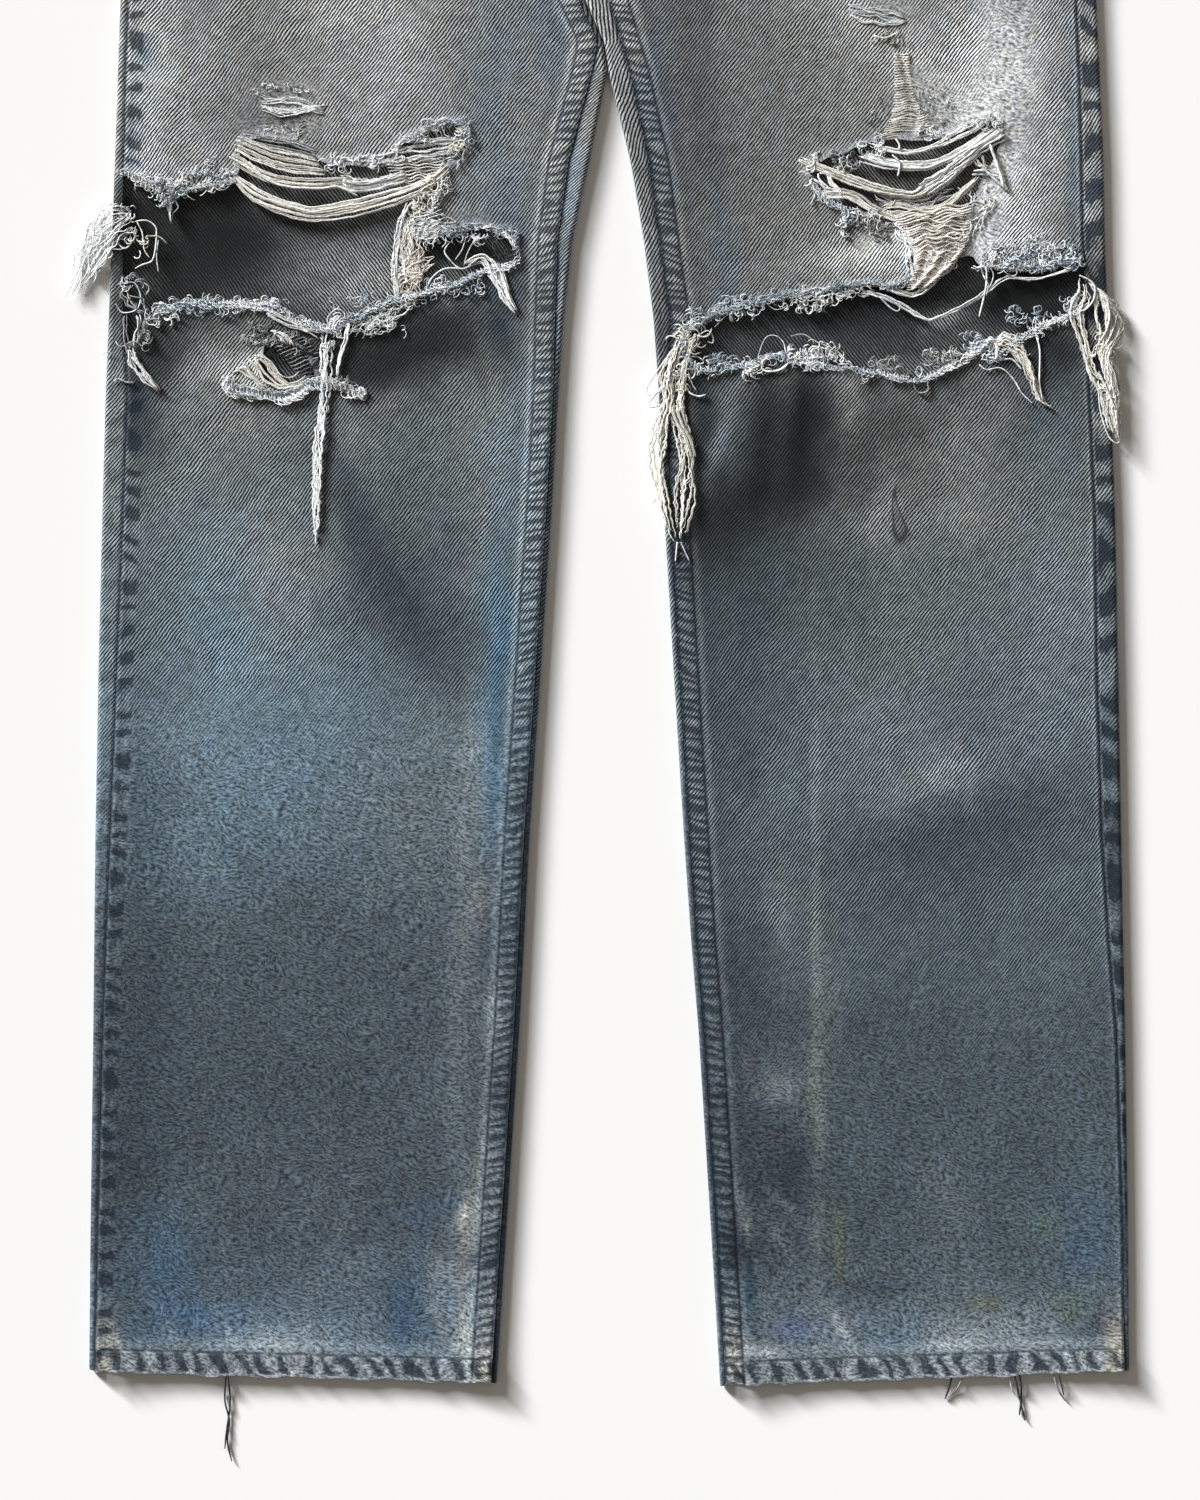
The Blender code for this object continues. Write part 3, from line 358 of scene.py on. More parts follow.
# The back's patches are mostly painted shadow, near black, where it shows through the tears under the front's
# lips, with a few lighter tones.
BACK_SHADE_AND_WASH_PATCHES = {
    -1: (
        (-216, 640, 64, 40, 0, 0x090a0b, 0.97), (-240, 600, 50, 20, 90, 0x161718, 0.8),
        (-150, 632, 40, 26, 10, 0x6c7074, 0.8), (-180, 602, 60, 9, 0, 0x282a2c, 0.6),
        (-166, 660, 34, 7, 0, 0x222426, 0.7), (-78, 636, 36, 16, 0, 0x08090a, 0.97),
        (-180, 575, 26, 16, 0, 0x303234, 0.8), (-262, 656, 22, 13, 60, 0x060708, 0.9),
        (-30, 760, 50, 12, 90, 0x546272, 0.5), (-138, 614, 26, 14, 8, 0x969899, 0.7),
        (-19, 668, 44, 9, 95, 0x84919f, 0.8), (-27, 600, 44, 8, 93, 0x7c848c, 0.8),
    ),
    1: (
        (28, 735, 110, 12, 93, 0x424e5c, 0.45), (150, 602, 120, 26, 8, 0x1c1e20, 0.92),
        (232, 614, 38, 22, 0, 0x060708, 0.97), (168, 680, 60, 34, 0, 0x424241, 0.8),
        (150, 592, 60, 7, 8, 0x3c4144, 0.5), (273, 668, 30, 7, 90, 0x848a8e, 0.6),
        (192, 601, 16, 9, 0, 0x969c9a, 0.75), (94, 598, 26, 12, 0, 0x36393c, 0.6),
        (193, 626, 14, 9, 0, 0x4e5052, 0.6), (250, 606, 16, 9, 0, 0x121416, 0.8),
        (280, 465, 28, 9, 90, 0x323a42, 0.6), (282, 375, 30, 9, 90, 0x2e3840, 0.6),
        (283, 307, 26, 9, 90, 0x2a343a, 0.6), (288, 48, 18, 9, 90, 0x82898c, 0.6),
    ),
}


def screen(tones):
    """The red, green and blue, 0 to 255, of colours written as 0xRRGGBB."""
    tones = np.array(tones)
    return np.stack([tones >> 16, tones >> 8 & 255, tones & 255], -1)


def washed_and_shaded(side, x, height, patches, seed):
    """The colour of the cloth at each point: the leg's ground colour with its patches of wash and painted
    shade laid in.
    """
    levels, tones = np.array(GROUND[side]).T
    colour = np.stack([np.interp(height, levels, band) for band in screen(tones).T], 1)
    shift_x = 7 * cloud(x, height, 23, seed) + 3 * cloud(x, height, 8, seed + 1)
    shift_y = 9 * cloud(x, height, 27, seed + 2) + 3 * cloud(x, height, 9, seed + 3)
    for middle, middle_height, length, width, direction, tone, strength in patches:
        ragged = min(1.0, width / 14)
        off_x, off_y = x + ragged * shift_x - middle, height + ragged * shift_y - middle_height
        along, across = turned(off_x, off_y, direction)
        share = strength * np.exp(-(along / length) ** 2 - (across / width) ** 2)
        colour += (screen(tone) - colour) * share[:, None]
    colour *= (1 + 0.05 * cloud(x, height, 34, seed + 4) + 0.03 * cloud(x, height, 12, seed + 5))[:, None]
    return linear(colour)


def linear(colour):
    """Screen values from 0 to 255 as the amounts of light that they stand for."""
    part = np.clip(np.asarray(colour, float) / 255, 0, 1)
    return np.where(part < 0.04045, part / 12.92, ((part + 0.055) / 1.055) ** 2.4)


def lay_cloth(name, x, height, level, flat):
    """A sheet of cloth through rows of points, with its unrolled place (m) as its UV map."""
    rows, columns = x.shape
    bpy.ops.mesh.primitive_grid_add(x_subdivisions=columns - 1, y_subdivisions=rows - 1, size=1)
    piece = bpy.context.active_object
    piece.name = name
    piece.data.name = name
    points = np.stack([x, height, level], -1) * MM + (ORIGIN_X, ORIGIN_Y, 0)
    piece.data.vertices.foreach_set("co", points.ravel())
    corner = np.zeros(len(piece.data.loops), int)
    piece.data.loops.foreach_get("vertex_index", corner)
    layer = piece.data.uv_layers[0]
    layer.name = "cloth"
    unrolled = np.stack(flat, -1).reshape(-1, 2) * MM
    layer.data.foreach_set("uv", unrolled[corner].ravel())
    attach(piece, "root")
    return piece


def note(piece, name, values):
    """Keep a number or a colour at each point of a piece."""
    values = np.asarray(values, float)
    if values.ndim == 1:
        piece.data.attributes.new(name, "FLOAT", "POINT").data.foreach_set("value", values)
    else:
        solid = np.ones((len(values), 1))
        kept = piece.data.attributes.new(name, "FLOAT_COLOR", "POINT")
        kept.data.foreach_set("color", np.concatenate([values, solid], 1).ravel())


def give_wall(piece, wall=WALL):
    """Turn the sheet into a wall with a smooth face."""
    solid = piece.modifiers.new("wall", "SOLIDIFY")
    solid.thickness = wall * MM
    solid.offset = 0
    bpy.context.view_layer.objects.active = piece
    bpy.ops.object.modifier_apply(modifier=solid.name)
    piece.data.shade_smooth()
    piece.data.set_sharp_from_angle(angle=math.radians(50))


def times(*values):
    """The product of two values."""
    return maths("MULTIPLY", *values)


def scaled(*values):
    """The first value times the second, plus the third."""
    return maths("MULTIPLY_ADD", *values)


def stretch(value, low, high, new_low=0.0, new_high=1.0):
    """Spread a value's range smoothly over a new one."""
    links = {0: value, 1: low, 2: high, 3: new_low, 4: new_high}
    return node(value.id_data, "MapRange", links, interpolation_type="SMOOTHSTEP")[0]


def noise(place, scale, detail=1.0, rough=0.5):
    """Soft noise from 0 to 1 at these places."""
    links = {"Vector": place, "Scale": scale, "Detail": detail, "Roughness": rough}
    return node(place.id_data, "TexNoise", links)["Fac"]


def vectors(operation, first, *others):
    """The output of a Vector Math node."""
    return node(first.id_data, "VectorMath", dict(enumerate((first, *others))), operation=operation)[0]


def between(share, low, high):
    """A number that goes from low to high as the share goes from 0 to 1."""
    return node(share.id_data, "Mix", {0: share, 2: low, 3: high}, data_type="FLOAT")[0]


def blend_colour(share, first, second):
    """The same between two colours, either of which may be a plain one."""
    first, second = ((*tone, 1) if isinstance(tone, tuple) else tone for tone in (first, second))
    return node(share.id_data, "Mix", {0: share, 6: first, 7: second}, data_type="RGBA")[2]


def new_group(name, inputs, outputs):
    """A shader node group, the outputs of its input node, and its output node."""
    group = bpy.data.node_groups.new(name, "ShaderNodeTree")
    for sockets, way in ((inputs, "INPUT"), (outputs, "OUTPUT")):
        for socket, kind in sockets.items():
            group.interface.new_socket(name=socket, in_out=way, socket_type="NodeSocket" + kind)
    return group, group.nodes.new("NodeGroupInput").outputs, group.nodes.new("NodeGroupOutput")


# The weave: slanting twill lines where they still show, a rubbed mottle where they have worn away.
TWILL_SLOPE = math.radians(52)
TWILL_PITCH = 1.62 * MM
weave, put, get = new_group(
    "weave", {"Cloth": "Vector", "Wash_and_shade": "Color", "Twill": "Float", "Frayed": "Float"},
    {"Color": "Color", "Height": "Float"})
cloth = put["Cloth"]
across_twill = (math.sin(TWILL_SLOPE) / TWILL_PITCH, -math.cos(TWILL_SLOPE) / TWILL_PITCH, 0)
lines = node(weave, "VectorMath", {0: cloth, 1: across_twill}, operation="DOT_PRODUCT")["Value"]
lines = scaled(noise(cloth, 420), 0.5, scaled(noise(cloth, 34), 2.6, lines))
ribs = stretch(maths("SINE", times(lines, 2 * math.pi)), -0.5, 0.62)
squashed = vectors("MULTIPLY", cloth, (1.0, 0.4, 1.0))
ribs = times(ribs, stretch(noise(squashed, 900), 0.3, 0.7, 0.72, 1.1))
drift = node(weave, "TexNoise", {"Vector": cloth, "Scale": 45, "Detail": 1})["Color"]
drift = vectors("MULTIPLY_ADD", drift, (0.012, 0.012, 0.0), cloth)
slanted = node(weave, "Mapping", {"Vector": drift, "Rotation": (0, 0, math.radians(-18)),
                                  "Scale": (1.9, 1.0, 1.0)}, vector_type="TEXTURE")[0]
mottle = stretch(noise(slanted, 740, 3, 0.6), 0.3, 0.7)
clarity = maths("ADD", put["Twill"], scaled(noise(cloth, 70, 2), 0.7, -0.35))
clarity = stretch(clarity, 0.1, 0.9)
pattern = between(clarity, mottle, ribs)
tone = between(pattern, between(clarity, 0.2, 0.02), between(clarity, 1.94, 2.68))
tone = times(tone, stretch(noise(cloth, 150, 2), 0.25, 0.75, 0.8, 1.2))
cool = noise(cloth, 110, 3, 0.65)
tint = vectors("MULTIPLY_ADD", cool, (-0.2, -0.025, 0.24), (1.085, 1.0125, 0.9))
woven = vectors("MULTIPLY", put["Wash_and_shade"], tint)
woven = node(weave, "VectorMath", {0: woven, "Scale": tone}, operation="SCALE")[0]
fluff = noise(squashed, 1100, 2, 0.7)
fluff_colour = blend_colour(stretch(fluff, 0.35, 0.65), (0.11, 0.15, 0.2), (0.62, 0.63, 0.62))
wire(get, {"Color": blend_colour(put["Frayed"], woven, fluff_colour),
           "Height": between(put["Frayed"], pattern, fluff)})

# A soft line that follows a seam at a distance from it, such as a groove or a rubbed ridge.
seam_line, put, get = new_group("seam_line", {"Distance": "Float", "Place": "Float", "Width": "Float"},
                                {"Mask": "Float"})
off = maths("DIVIDE", maths("SUBTRACT", put["Distance"], put["Place"]), put["Width"])
wire(get, {"Mask": maths("EXPONENT", times(times(off, off), -1.0))})

# Puckers that cross the band beside a seam: dark where the dye was never rubbed off, with pale crests
# between them.
puckers, put, get = new_group(
    "puckers", dict.fromkeys(("Distance", "Along", "Start", "End", "Pitch", "Slant", "Cover"), "Float"),
    {"Dark": "Float", "Pale": "Float"})
distance = put["Distance"]
run = maths("DIVIDE", scaled(distance, put["Slant"], put["Along"]), put["Pitch"])
place = node(puckers, "CombineXYZ", {0: run, 1: times(distance, 70.0)})[0]
shift = noise(place, 0.5)
beat = maths("SINE", times(scaled(shift, 2.2, run), 2 * math.pi))
near = node(puckers, "CombineXYZ", {0: put["Along"], 1: distance})[0]
deep = scaled(beat, 0.52, scaled(noise(place, 0.9, 2, 0.6), 1.3, -0.65))
deep = maths("ADD", deep, scaled(noise(near, 420, 2, 0.6), 1.0, -0.5))
edge = scaled(put["Cover"], -1.3, 0.65)
dark = stretch(deep, maths("SUBTRACT", edge, 0.16), maths("ADD", edge, 0.16))
pale = stretch(deep, maths("SUBTRACT", edge, 0.8), maths("SUBTRACT", edge, 0.3), 1.0, 0.0)
rise = stretch(distance, maths("SUBTRACT", put["Start"], 0.001), put["Start"])
fall = stretch(distance, maths("SUBTRACT", put["End"], 0.001), maths("ADD", put["End"], 0.0016), 1.0, 0.0)
band_only = times(rise, fall)
wire(get, {"Dark": times(dark, band_only), "Pale": times(pale, band_only)})

# The deep dark of the dye kept in the puckers, also used for the painted shade along the seams' joints and
# grooves.
INDIGO_AND_SHADE = (0.006, 0.0115, 0.019)
RELIEF = 0.00013
HEM_STITCH = 13.0
FELL = 10.6


def denim(name, seams):
    """Denim with its wash and painted shade, its weave and the marks of the seams that its points know about.
    """
    look, shader = material(name, {"Roughness": 0.92, "Specular IOR Level": 0.18, "Sheen Weight": 0.05,
                                   "Sheen Roughness": 0.6})
    tree = look.node_tree
    cloth = node(tree, "UVMap", uv_map="cloth")["UV"]
    noted = {key: node(tree, "Attribute", attribute_name=key)
             for key in ("wash_and_shade", "twill", "frayed", "inseam", "outseam", "hem")}
    colour, height = node(tree, "Group", node_tree=weave, links={
        "Cloth": cloth, "Wash_and_shade": noted["wash_and_shade"]["Color"], "Twill": noted["twill"]["Fac"],
        "Frayed": noted["frayed"]["Fac"]})
    axes = node(tree, "SeparateXYZ", {0: cloth})

    def dyed_dark_and_shaded(mask, low):
        """Colour and height with the masked places made dark and lower: the dye kept in the puckers, and
        painted shade along the seams' joints and grooves.
        """
        deep = vectors("MULTIPLY_ADD", colour, (0.16, 0.17, 0.19), INDIGO_AND_SHADE)
        return blend_colour(mask, colour, deep), scaled(mask, low, height)

    def rubbed(mask, gain):
        """Colour and height with the masked places rubbed pale, and higher."""
        pale = vectors("MULTIPLY_ADD", colour, (gain, gain, gain), (0.03, 0.031, 0.031))
        return blend_colour(mask, colour, pale), scaled(mask, 0.7, height)

    for kind, seam, place, width, strength in seams:
        distance = noted[seam]["Fac"]
        if kind == "puckers":
            start, end, pitch, slant, cover = place
            dark, pale = node(tree, "Group", node_tree=puckers, links={
                "Distance": distance, "Along": axes[0] if seam == "hem" else axes[1], "Start": start * MM,
                "End": end * MM, "Pitch": pitch * MM, "Slant": slant, "Cover": cover})
            colour, height = rubbed(times(pale, width), 1.8)
            colour, height = dyed_dark_and_shaded(times(dark, strength), -1.4)
            continue
        links = {"Distance": distance, "Place": place * MM, "Width": width * MM}
        mask = node(tree, "Group", links, node_tree=seam_line)[0]
        ragged = noise(cloth, 160, 2, 0.6)
        mask = times(mask, stretch(ragged, 0.3, 0.55, 0.5 * strength, strength))
        # A ridge is rubbed pale; a line is painted shade along a seam's joints and grooves, where the dye
        # also stays dark.
        colour, height = rubbed(mask, 1.5) if kind == "ridge" else dyed_dark_and_shaded(mask, -1.6)
    bump = node(tree, "Bump", {"Height": height, "Distance": RELIEF, "Strength": 1.0})
    wire(shader, {"Base Color": colour, "Normal": bump["Normal"]})
    return look


# Marks: kind, seam, distance (for puckers start, end, pitch, slant and cover), width (for puckers how
# pale their crests are), strength. The left outseam lies nearer its edge, so its band is on the back.
# The lines are painted shade along the seams' joints and grooves.
BACK_SEAMS = {
    -1: (("line", "outseam", 0.4, 0.8, 0.9), ("line", "inseam", 0.6, 1.4, 1.0),
         ("puckers", "outseam", (1, 9, 16, 0.3, 0.22), 0.1, 0.35)),
    1: (("line", "inseam", 0.5, 1.2, 1.0), ("ridge", "outseam", 1.6, 0.9, 0.8),
        ("puckers", "outseam", (2.2, 11, 23, 0.1, 0.42), 0.6, 1.0), ("line", "outseam", 0.3, 1.0, 1.0)),
}
back_denim = {side: denim("back_denim_" + word, BACK_SEAMS[side]) for side, word in SIDES.items()}
HIP = 860
FAR = 90.0


def back_section(side, height):
    """The panel at one height, outseam to inseam: distances, levels and lengths along the cloth."""
    outer, outseam, inseam, inner = (float(value) for value in leg_edges(side, height))
    low = float(back_level(height))
    high = low + 2 * FOLD_RADIUS
    turn, middle = FOLD_RADIUS + WALL / 2, (low + high) / 2
    angles = np.radians(np.linspace(90, -90, 9))
    strip = np.linspace(outseam + SEAM_GAP / 2, outer - turn, 7)[:-1]
    distance = list(strip) + list(outer - turn + FOLD_RADIUS * np.cos(angles))
    level = [high] * len(strip) + list(middle + FOLD_RADIUS * np.sin(angles))
    open_crotch = float(np.clip((height - 781) / (CROTCH - 781), 0, 1))
    folded = [(inner + turn - FOLD_RADIUS * math.cos(a), middle + FOLD_RADIUS * math.sin(a))
              for a in -angles]
    folded += [(d, high) for d in np.linspace(inner + turn, inseam - SEAM_GAP / 2, 7)[1:]]
    centre = side * float(centre_line(max(height, CROTCH))) + SEAM_GAP / 2
    tail = []
    for step, (fold_distance, fold_level) in enumerate(folded):
        opened = centre + 3 * (len(folded) - 1 - step)
        tail.append((fold_distance + (opened - fold_distance) * open_crotch,
                     fold_level + (low - fold_level) * open_crotch))
    flat = np.linspace(distance[-1], tail[0][0], 62)[1:-1]
    distance += list(flat) + [point[0] for point in tail]
    level += [low] * len(flat) + [point[1] for point in tail]
    distance, level = np.array(distance), np.array(level)
    lengths = np.concatenate([[0], np.cumsum(np.hypot(np.diff(distance), np.diff(level)))])
    return distance, level, lengths + (HEM_OUTER - outer)


def back_panel(side, heights):
    """One leg's back panel, with its wash and painted shade and its distances from the seams."""
    sections = [back_section(side, height) for height in heights]
    distance, level, length = (np.array(part)[:, ::side] for part in zip(*sections))
    height = np.repeat(np.array(heights, float)[:, None], distance.shape[1], 1)
    y = squeezed(height, HIP, YOKE_SIDE, yoke_seam(distance) - SEAM_GAP / 2)
    y = y + hem_rise(side, distance, height)
    piece = lay_cloth("back_" + SIDES[side], side * distance, y, level,
                      (side * (length - HEM_OUTER), height))
    distance, y, level, height = distance.ravel(), y.ravel(), level.ravel(), height.ravel()
    _, outseam, inseam, _ = leg_edges(side, height)
    top = level > back_level(height) + 2.5
    # Wash with painted shadow, near black, where the back shows through the tears under the front's lips.
    wash_and_shade = washed_and_shaded(side, side * distance, y, BACK_SHADE_AND_WASH_PATCHES[side], 40 + side)
    note(piece, "wash_and_shade", wash_and_shade * np.where(top, 1.1, 1.0)[:, None])
    note(piece, "twill", np.interp(y, (300, 420), (0.25, 0.9)))
    note(piece, "frayed", np.zeros(len(y)))
    near_outseam, near_inseam = top & (distance > 150), top & (distance < 120)
    note(piece, "outseam", np.where(near_outseam, np.abs(distance - outseam), FAR) * MM)
    note(piece, "inseam", np.where(near_inseam, np.abs(inseam - distance), FAR) * MM)
    note(piece, "hem", height * MM)
    give_wall(piece)
    piece.data.materials.append(back_denim[side])
    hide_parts("back_panel_" + SIDES[side])
    return piece


BACK_HEIGHTS = sorted(set(list(np.arange(0, 560, 10.0)) + list(np.arange(560, 700, 4.0))
                          + list(np.arange(700, 1012, 8.0)) + [CROTCH, YOKE_SIDE]))
backs = {side: back_panel(side, BACK_HEIGHTS) for side in SIDES}

# ---- Front panels --------------------------------------------------------------------------------
# One piece of denim for the front of each leg, torn right across at the knee. It lies on the back
# panel, rises to the folded edges, and is drawn into soft folds round the tears.
FOLDS = (
    # x, height, half length, half width, direction in degrees, lift
    (-205, 672, 90, 24, 0, 1.5), (-195, 598, 105, 24, 0, 1.8), (150, 628, 100, 24, 8, 1.5),
    (140, 566, 105, 22, 0, 2.0), (78, 530, 46, 13, 80, 1.8), (127, 528, 40, 14, 95, 1.5),
    (-120, 520, 60, 30, 60, 1.2), (160, 320, 90, 24, 12, 1.4),
)
CREASES = (
    # smaller ones, most of them troughs or ridges a few millimetres wide
    (-100, 470, 70, 12, 112, -0.5), (-125, 440, 60, 10, 118, 0.4), (-160, 540, 50, 9, 20, 0.3),
    (-230, 560, 40, 9, 80, 0.35), (-80, 250, 150, 4, 88, 0.35), (-240, 480, 60, 12, 70, 0.3),
    (-210, 330, 90, 16, 85, 0.35), (-120, 170, 110, 16, 92, 0.3), (-200, 110, 80, 14, 100, 0.3),
    (-75, 150, 20, 3, -48, 0.35), (-84, 120, 18, 3, -50, -0.3), (-70, 66, 14, 3, -45, 0.4),
    (-245, 24, 13, 2.2, -62, 0.6), (-222, 25, 11, 2.0, -55, 0.5), (-205, 26, 12, 2.2, -50, 0.5),
    (-97, 40, 15, 2.2, -52, 0.6), (-90, 36, 15, 2.4, -52, -0.5),
    (92, 530, 44, 8, 88, -0.9), (112, 540, 40, 6, 90, -1.4), (136, 545, 34, 7, 92, 0.7),
    (150, 530, 40, 7, 95, -0.5), (62, 545, 36, 6, 84, 0.5), (200, 540, 40, 12, 84, 0.4),
    (235, 560, 30, 8, 60, 0.4), (120, 240, 150, 4, 90, 0.4), (170, 296, 80, 8, 12, -0.4),
    (84, 150, 24, 5, -55, 0.6), (92, 132, 24, 4, -52, -0.5), (98, 112, 20, 4, -45, 0.5),
    (132, 36, 13, 2.4, -62, 0.6), (82, 96, 18, 2.6, -38, 0.4), (230, 200, 90, 14, 84, 0.35),
    (200, 640, 40, 8, 10, 0.4), (120, 640, 50, 8, 10, -0.3), (240, 700, 60, 10, 88, 0.3),
    (150, 760, 60, 14, 88, 0.3), (-220, 750, 60, 14, 92, 0.3), (-130, 745, 60, 12, 86, -0.3),
)
RIGHT_KNEE = (
    (-285, 675), (-258, 674), (-250, 664), (-238, 671), (-210, 678), (-206, 697), (-195, 703),
    (-174, 700), (-157, 688), (-120, 688), (-117, 697), (-95, 709), (-81, 710), (-82, 691),
    (-92, 688), (-95, 671), (-103, 660), (-106, 648), (-61, 651), (-54, 643), (-55, 633),
    (-72, 628), (-92, 620), (-117, 612), (-148, 600), (-157, 596), (-174, 600), (-191, 608),
    (-230, 610), (-250, 607), (-261, 601), (-265, 592), (-271, 587), (-285, 587),
)
RIGHT_SHIN = ((-195, 582), (-185, 589), (-171, 582), (-165, 568), (-176, 562), (-195, 567))
LEFT_KNEE = (
    (44, 587), (52, 598), (74, 607), (97, 612), (142, 619), (162, 619), (172, 625), (171, 636),
    (167, 646), (148, 660), (131, 664), (115, 680), (113, 688), (128, 692), (153, 702), (184, 702),
    (215, 712), (221, 709), (220, 697), (207, 671), (200, 648), (196, 636), (205, 636),
    (213, 630), (249, 629), (275, 634), (280, 612), (255, 602), (232, 590), (221, 583),
    (213, 587), (199, 579), (182, 570), (168, 567), (134, 574), (109, 578), (91, 581),
    (74, 575), (52, 573),
)
NAPPED = {
    # where rubbing has taken the lines off the twill; the columns are those of the folds
    -1: ((-184, 727, 22, 9, 0, 0.9), (-184, 710, 26, 7, 0, 0.9), (-78, 655, 14, 12, 0, 0.6)),
    1: ((226, 753, 60, 16, 92, 0.95), (216, 700, 24, 13, 90, 0.85), (211, 652, 22, 11, 80, 0.95),
        (172, 722, 26, 14, 90, 0.85), (192, 716, 14, 16, 0, 0.75), (150, 648, 18, 9, 40, 0.6),
        (158, 775, 20, 10, 0, 0.6)),
}
TEARS = {-1: (RIGHT_KNEE, RIGHT_SHIN), 1: (LEFT_KNEE,)}
FOLD_REACH = 25.0
FRONT_DIP, DIP_HALF = 18.0, 204.0


def front_waist(distance):
    """Height of the waist seam on the front, which dips towards the middle."""
    return WAIST_SEAM - FRONT_DIP * (1 - np.clip(distance / DIP_HALF, None, 1) ** 2)


def raised(x, height, table):
    """Height that a table of soft folds adds."""
    lift = 0
    for middle, middle_height, length, width, direction, size in table:
        along, across = turned(x - middle, height - middle_height, direction)
        lift = lift + size * np.exp(-(along / length) ** 2 - (across / width) ** 2)
    return lift


def front_level(side, distance, height):
    """Middle of the front's wall: the CAD's own form with the smaller creases added."""
    _, outseam, inseam, _ = leg_edges(side, height)
    low = back_level(height) + 1.8 + 1.2 * np.clip((height - 830) / 55, 0, 1)
    rise = back_level(height) + 2 * FOLD_RADIUS - low
    folded = 1 - np.clip((height - 798) / 17, 0, 1)
    from_outer = np.exp(-((outseam - distance) / FOLD_REACH) ** 2)
    from_inner = np.exp(-((distance - inseam) / FOLD_REACH) ** 2) * folded
    edge = np.maximum(from_outer, from_inner)
    x = side * distance
    lift = raised(x, height, FOLDS) * (1 - edge) + raised(x, height, CREASES) * (1 - 0.6 * edge)
    lift = lift + 0.16 * cloud(x, height, 31, 5) + 0.1 * cloud(x, height, 13, 6)
    return low + rise * edge + lift


def smooth_path(points, steps, closed=False):
    """A smooth curve through points, with this many steps between each two.

    The points are pairs of x and height, or the same numbers in one row.
    """
    points = np.reshape(points, (-1, 2)).astype(float)
    if closed:
        around = np.concatenate([points[-1:], points, points[:2]])
    else:
        around = np.concatenate([points[:1], points, points[-1:]])
    t = (np.arange(steps) / steps)[:, None]
    found = []
    for a, b, c, d in zip(around, around[1:], around[2:], around[3:]):
        found.append(0.5 * (2 * b + (c - a) * t + (2 * a - 5 * b + 4 * c - d) * t ** 2
                            + (3 * b - a - 3 * c + d) * t ** 3))
    if not closed:
        found.append(points[-1:])
    return np.concatenate(found)


def torn_edge(outline, seed):
    """The outline of a tear, roughened as cloth tears between its threads."""
    path = smooth_path(outline, 8, closed=True)
    rough = (0.9 * cloud(path[:, 0], path[:, 1], 3.1, seed)
             + 0.8 * cloud(path[:, 0], path[:, 1], 7.3, seed + 1))
    ahead = np.roll(path, -1, 0) - np.roll(path, 1, 0)
    ahead /= np.linalg.norm(ahead, axis=1)[:, None] + 1e-9
    return path + np.stack([-ahead[:, 1], ahead[:, 0]], 1) * rough[:, None]


def inside(path, x, y):
    """Which points lie inside a closed outline."""
    found = np.zeros(len(x), bool)
    for (x1, y1), (x2, y2) in zip(path, np.roll(path, -1, 0)):
        if y1 != y2:
            crosses = ((y1 > y) != (y2 > y)) & (x < (x2 - x1) * (y - y1) / (y2 - y1) + x1)
            found ^= crosses
    return found


def nearest_on(path, x, y):
    """Distance to a closed outline, and the nearest place on it."""
    best = np.full(len(x), 1e9)
    place = np.zeros((len(x), 2))
    for start, end in zip(path, np.roll(path, -1, 0)):
        run = end - start
        t = np.clip(((x - start[0]) * run[0] + (y - start[1]) * run[1]) / (run @ run + 1e-9), 0, 1)
        foot = start + t[:, None] * run
        gap = np.hypot(foot[:, 0] - x, foot[:, 1] - y)
        closer = gap < best
        best[closer] = gap[closer]
        place[closer] = foot[closer]
    return best, place


torn = {side: [torn_edge(outline, 70 + 3 * n) for n, outline in enumerate(TEARS[side])] for side in SIDES}
SCOOP_INNER, SCOOP_OUTER, SCOOP_BOTTOM = 120.0, 250.0, 968.0
ABOVE_WAIST, BESIDE_HIP = 1060.0, 280.0


def scoop(side, angles, inset=0):
    """The curve of a front pocket's opening, or a row inside it, from the waist to the outseam."""
    across, down = SCOOP_OUTER - SCOOP_INNER + inset, float(front_waist(SCOOP_INNER)) - SCOOP_BOTTOM
    return [(side * (SCOOP_OUTER - across * math.cos(a)), SCOOP_BOTTOM - inset + down * (1 - math.sin(a)))
            for a in np.radians(angles)]


scoops = {side: np.array([(side * SCOOP_INNER, ABOVE_WAIST), *scoop(side, np.linspace(0, 90, 25)),
                          (side * BESIDE_HIP, SCOOP_BOTTOM), (side * BESIDE_HIP, ABOVE_WAIST)])
          for side in SIDES}
INSEAM_MARKS = (
    ("ridge", "inseam", 13.2, 1.7, 0.85), ("line", "inseam", 19.0, 3.0, 0.22),
    ("ridge", "inseam", 5.5, 4.5, 0.2), ("puckers", "inseam", (1.0, FELL - 0.9, 5.6, 0.2, 0.34), 0.55, 0.8),
    ("line", "inseam", FELL, 0.8, 0.9), ("line", "inseam", 0.6, 1.3, 1.0))
HEM_MARKS = (
    ("puckers", "hem", (1.8, HEM_STITCH - 0.8, 12, 0.4, 0.34), 0.6, 0.95),
    ("ridge", "hem", 17.5, 3.6, 0.9), ("line", "hem", HEM_STITCH, 0.8, 1.0), ("ridge", "hem", 0.6, 1.6, 0.9))
OUTSEAM_MARKS = {
    -1: (("ridge", "outseam", 1.6, 0.9, 0.8), ("puckers", "outseam", (1.8, 9.5, 14, 0.1, 0.34), 0.25, 0.9),
         ("line", "outseam", 0.2, 1.0, 1.0)),
    1: (("ridge", "outseam", 1.7, 1.0, 0.8), ("line", "outseam", 0.2, 1.0, 1.0)),
}
front_denim = {side: denim("front_denim_" + word, INSEAM_MARKS + OUTSEAM_MARKS[side] + HEM_MARKS)
               for side, word in SIDES.items()}

